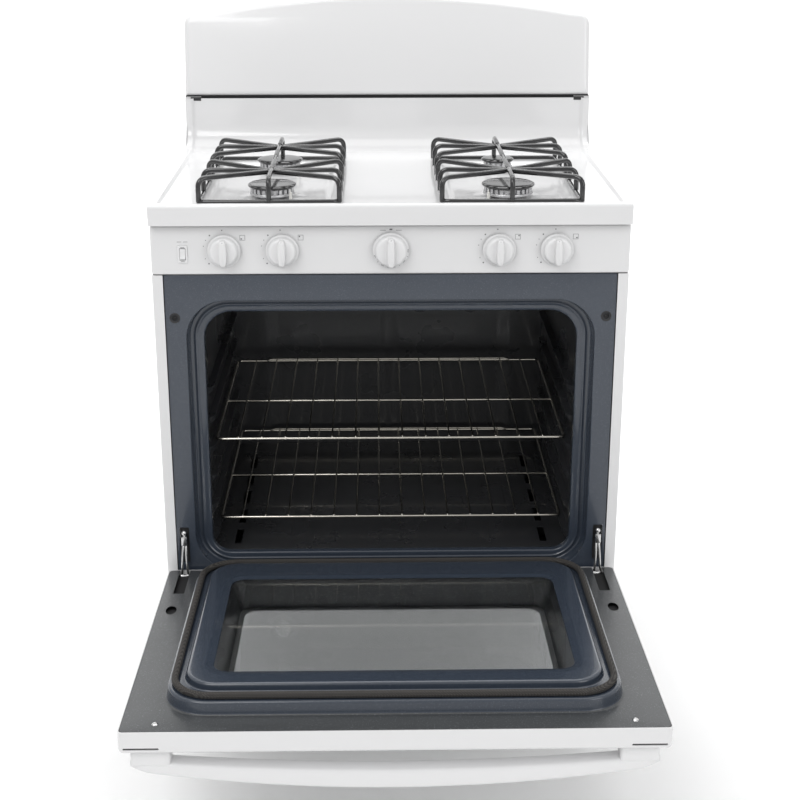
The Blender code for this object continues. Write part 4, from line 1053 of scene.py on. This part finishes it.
def make_rear():
    """Screws, pressed ribs and a slotted vent on the back sheet."""
    ribs = []
    for low, high in ((0.300, 0.560), (0.600, 0.860)):
        rib = pressed("rib", [(0.300, low + 0.012, high - 0.012, 0.02, 0.02),
                              (0.315, low, high, 0.03, 0.03)],
                      filleted([(0.3150, REAR + 0.0005), (0.3110, REAR + 0.0014, 0.001),
                                (0.3060, REAR + 0.0014, 0.001),
                                (0.3020, REAR + 0.0005)], 4), 8)
        ribs.append(rib)
    piece("rear_ribs", merged("ribs", ribs), STEEL)
    # The vent's slots are dark boxes of painted shade laid on the back sheet, not cut openings.
    vent_slot_shades = []
    for index in range(9):
        x = -0.160 + 0.040 * index
        vent_slot_shades.append(box_mesh("vent_slot_shade", (x - 0.013, REAR + 0.0004, 0.930), (x + 0.013, REAR + 0.0012, 0.936),
                              0.0003, 1))
    piece("rear_vent_shade", merged("vent_slot_shades", vent_slot_shades), SHADOW)
    heads = []
    for x in (-0.368, -0.185, 0.0, 0.185, 0.368):
        for z in (0.085, 0.585, 0.985):
            heads.append(placed(screw_mesh(0.0040),
                                Matrix.Translation((x, REAR + 0.0001, z)) @ Matrix.Rotation(-pi / 2, 4,
                                                                                            "X")))
    piece("rear_screws", merged("screws", heads), BRIGHT)


make_cooktop()
make_burners()
make_grates()
make_backguard()
make_panel()
make_knobs()
make_rocker()
make_front_frame()
make_liner()
make_lamp()
make_racks()
make_door_panel()
make_door()
make_hinges()
make_drawer()
make_rear()
for name, finish in (("side_panel_left", WHITE), ("side_panel_right", WHITE),
                     ("backguard_support_left", WHITE),
                     ("backguard_support_right", WHITE), ("oven_floor_panel", CHARCOAL), ("oven_burner",
                                                                                          STEEL),
                     ("base_frame", STEEL), ("rear_panel", STEEL), ("gas_regulator", CAST), ("gas_manifold",
                                                                                             STEEL),
                     ("oven_thermostat", CAST), ("leveling_leg_front_left",
                                                 GREY), ("leveling_leg_front_right", GREY),
                     ("leveling_leg_rear_left", GREY), ("leveling_leg_rear_right", GREY),
                     ("burner_valve_left_inner", BRASS), ("burner_valve_left_outer", BRASS),
                     ("burner_valve_right_inner", BRASS), ("burner_valve_right_outer", BRASS)):
    repaint(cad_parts[name], finish)


# ---------------------------------------------------------------- stage, camera and light
def make_stage():
    """A pale floor that sweeps up into the backdrop."""
    sweep = [(-7.0, 0.0), (2.2, 0.0)]
    sweep += [(2.2 + 1.6 * sin(pi / 2 * k / 16), 1.6 * (1 - cos(pi / 2 * k / 16))) for k in range(1, 17)]
    sweep.append((3.8, 6.0))
    floor = loft("studio_floor", [[(x, y, z) for x in (-7.0, 7.0)] for y, z in sweep], closed=False)
    obj = shown("studio_floor", floor)
    obj.data.materials.append(material("studio_paper", (0.93, 0.93, 0.93), 0.85, bump=(40.0, 0.02, 2.0)))


def softbox(name, place, target, size, power, colour=(1.0, 1.0, 1.0)):
    light = bpy.data.lights.new(name, "AREA")
    light.shape = "RECTANGLE"
    light.size, light.size_y = size
    light.energy, light.color = power, colour
    obj = shown(name, light)
    obj.location = place
    obj.rotation_euler = (Vector(target) - Vector(place)).to_track_quat("-Z", "Y").to_euler()


make_stage()
softbox("key_light", (-1.6, -2.6, 3.4), (0.0, 0.0, 0.6), (2.4, 1.8), 52.0)
softbox("fill_light", (2.4, -2.8, 1.8), (0.0, 0.0, 0.6), (1.8, 2.2), 22.0)
softbox("top_light", (0.0, 0.4, 3.6), (0.0, 0.1, 0.6), (3.0, 2.4), 36.0)
softbox("back_wash", (0.0, 1.2, 3.2), (0.0, 3.8, 1.2), (5.0, 1.2), 110.0)
world = bpy.data.worlds.new("studio")
scene.world = world
world.use_nodes = True
world.node_tree.nodes["Background"].inputs["Color"].default_value = (1.0, 1.0, 1.0, 1.0)
world.node_tree.nodes["Background"].inputs["Strength"].default_value = 0.62

lens = bpy.data.cameras.new("camera")
lens.lens, lens.sensor_width = 65.42, 36.0
lens.shift_x, lens.shift_y = 0.0, -0.06
camera = shown("camera", lens)
camera.location = (-0.0241, -2.293, 1.4006)
camera.rotation_euler = (radians(90 - 18.11), 0.0, -radians(0.983))
scene.camera = camera
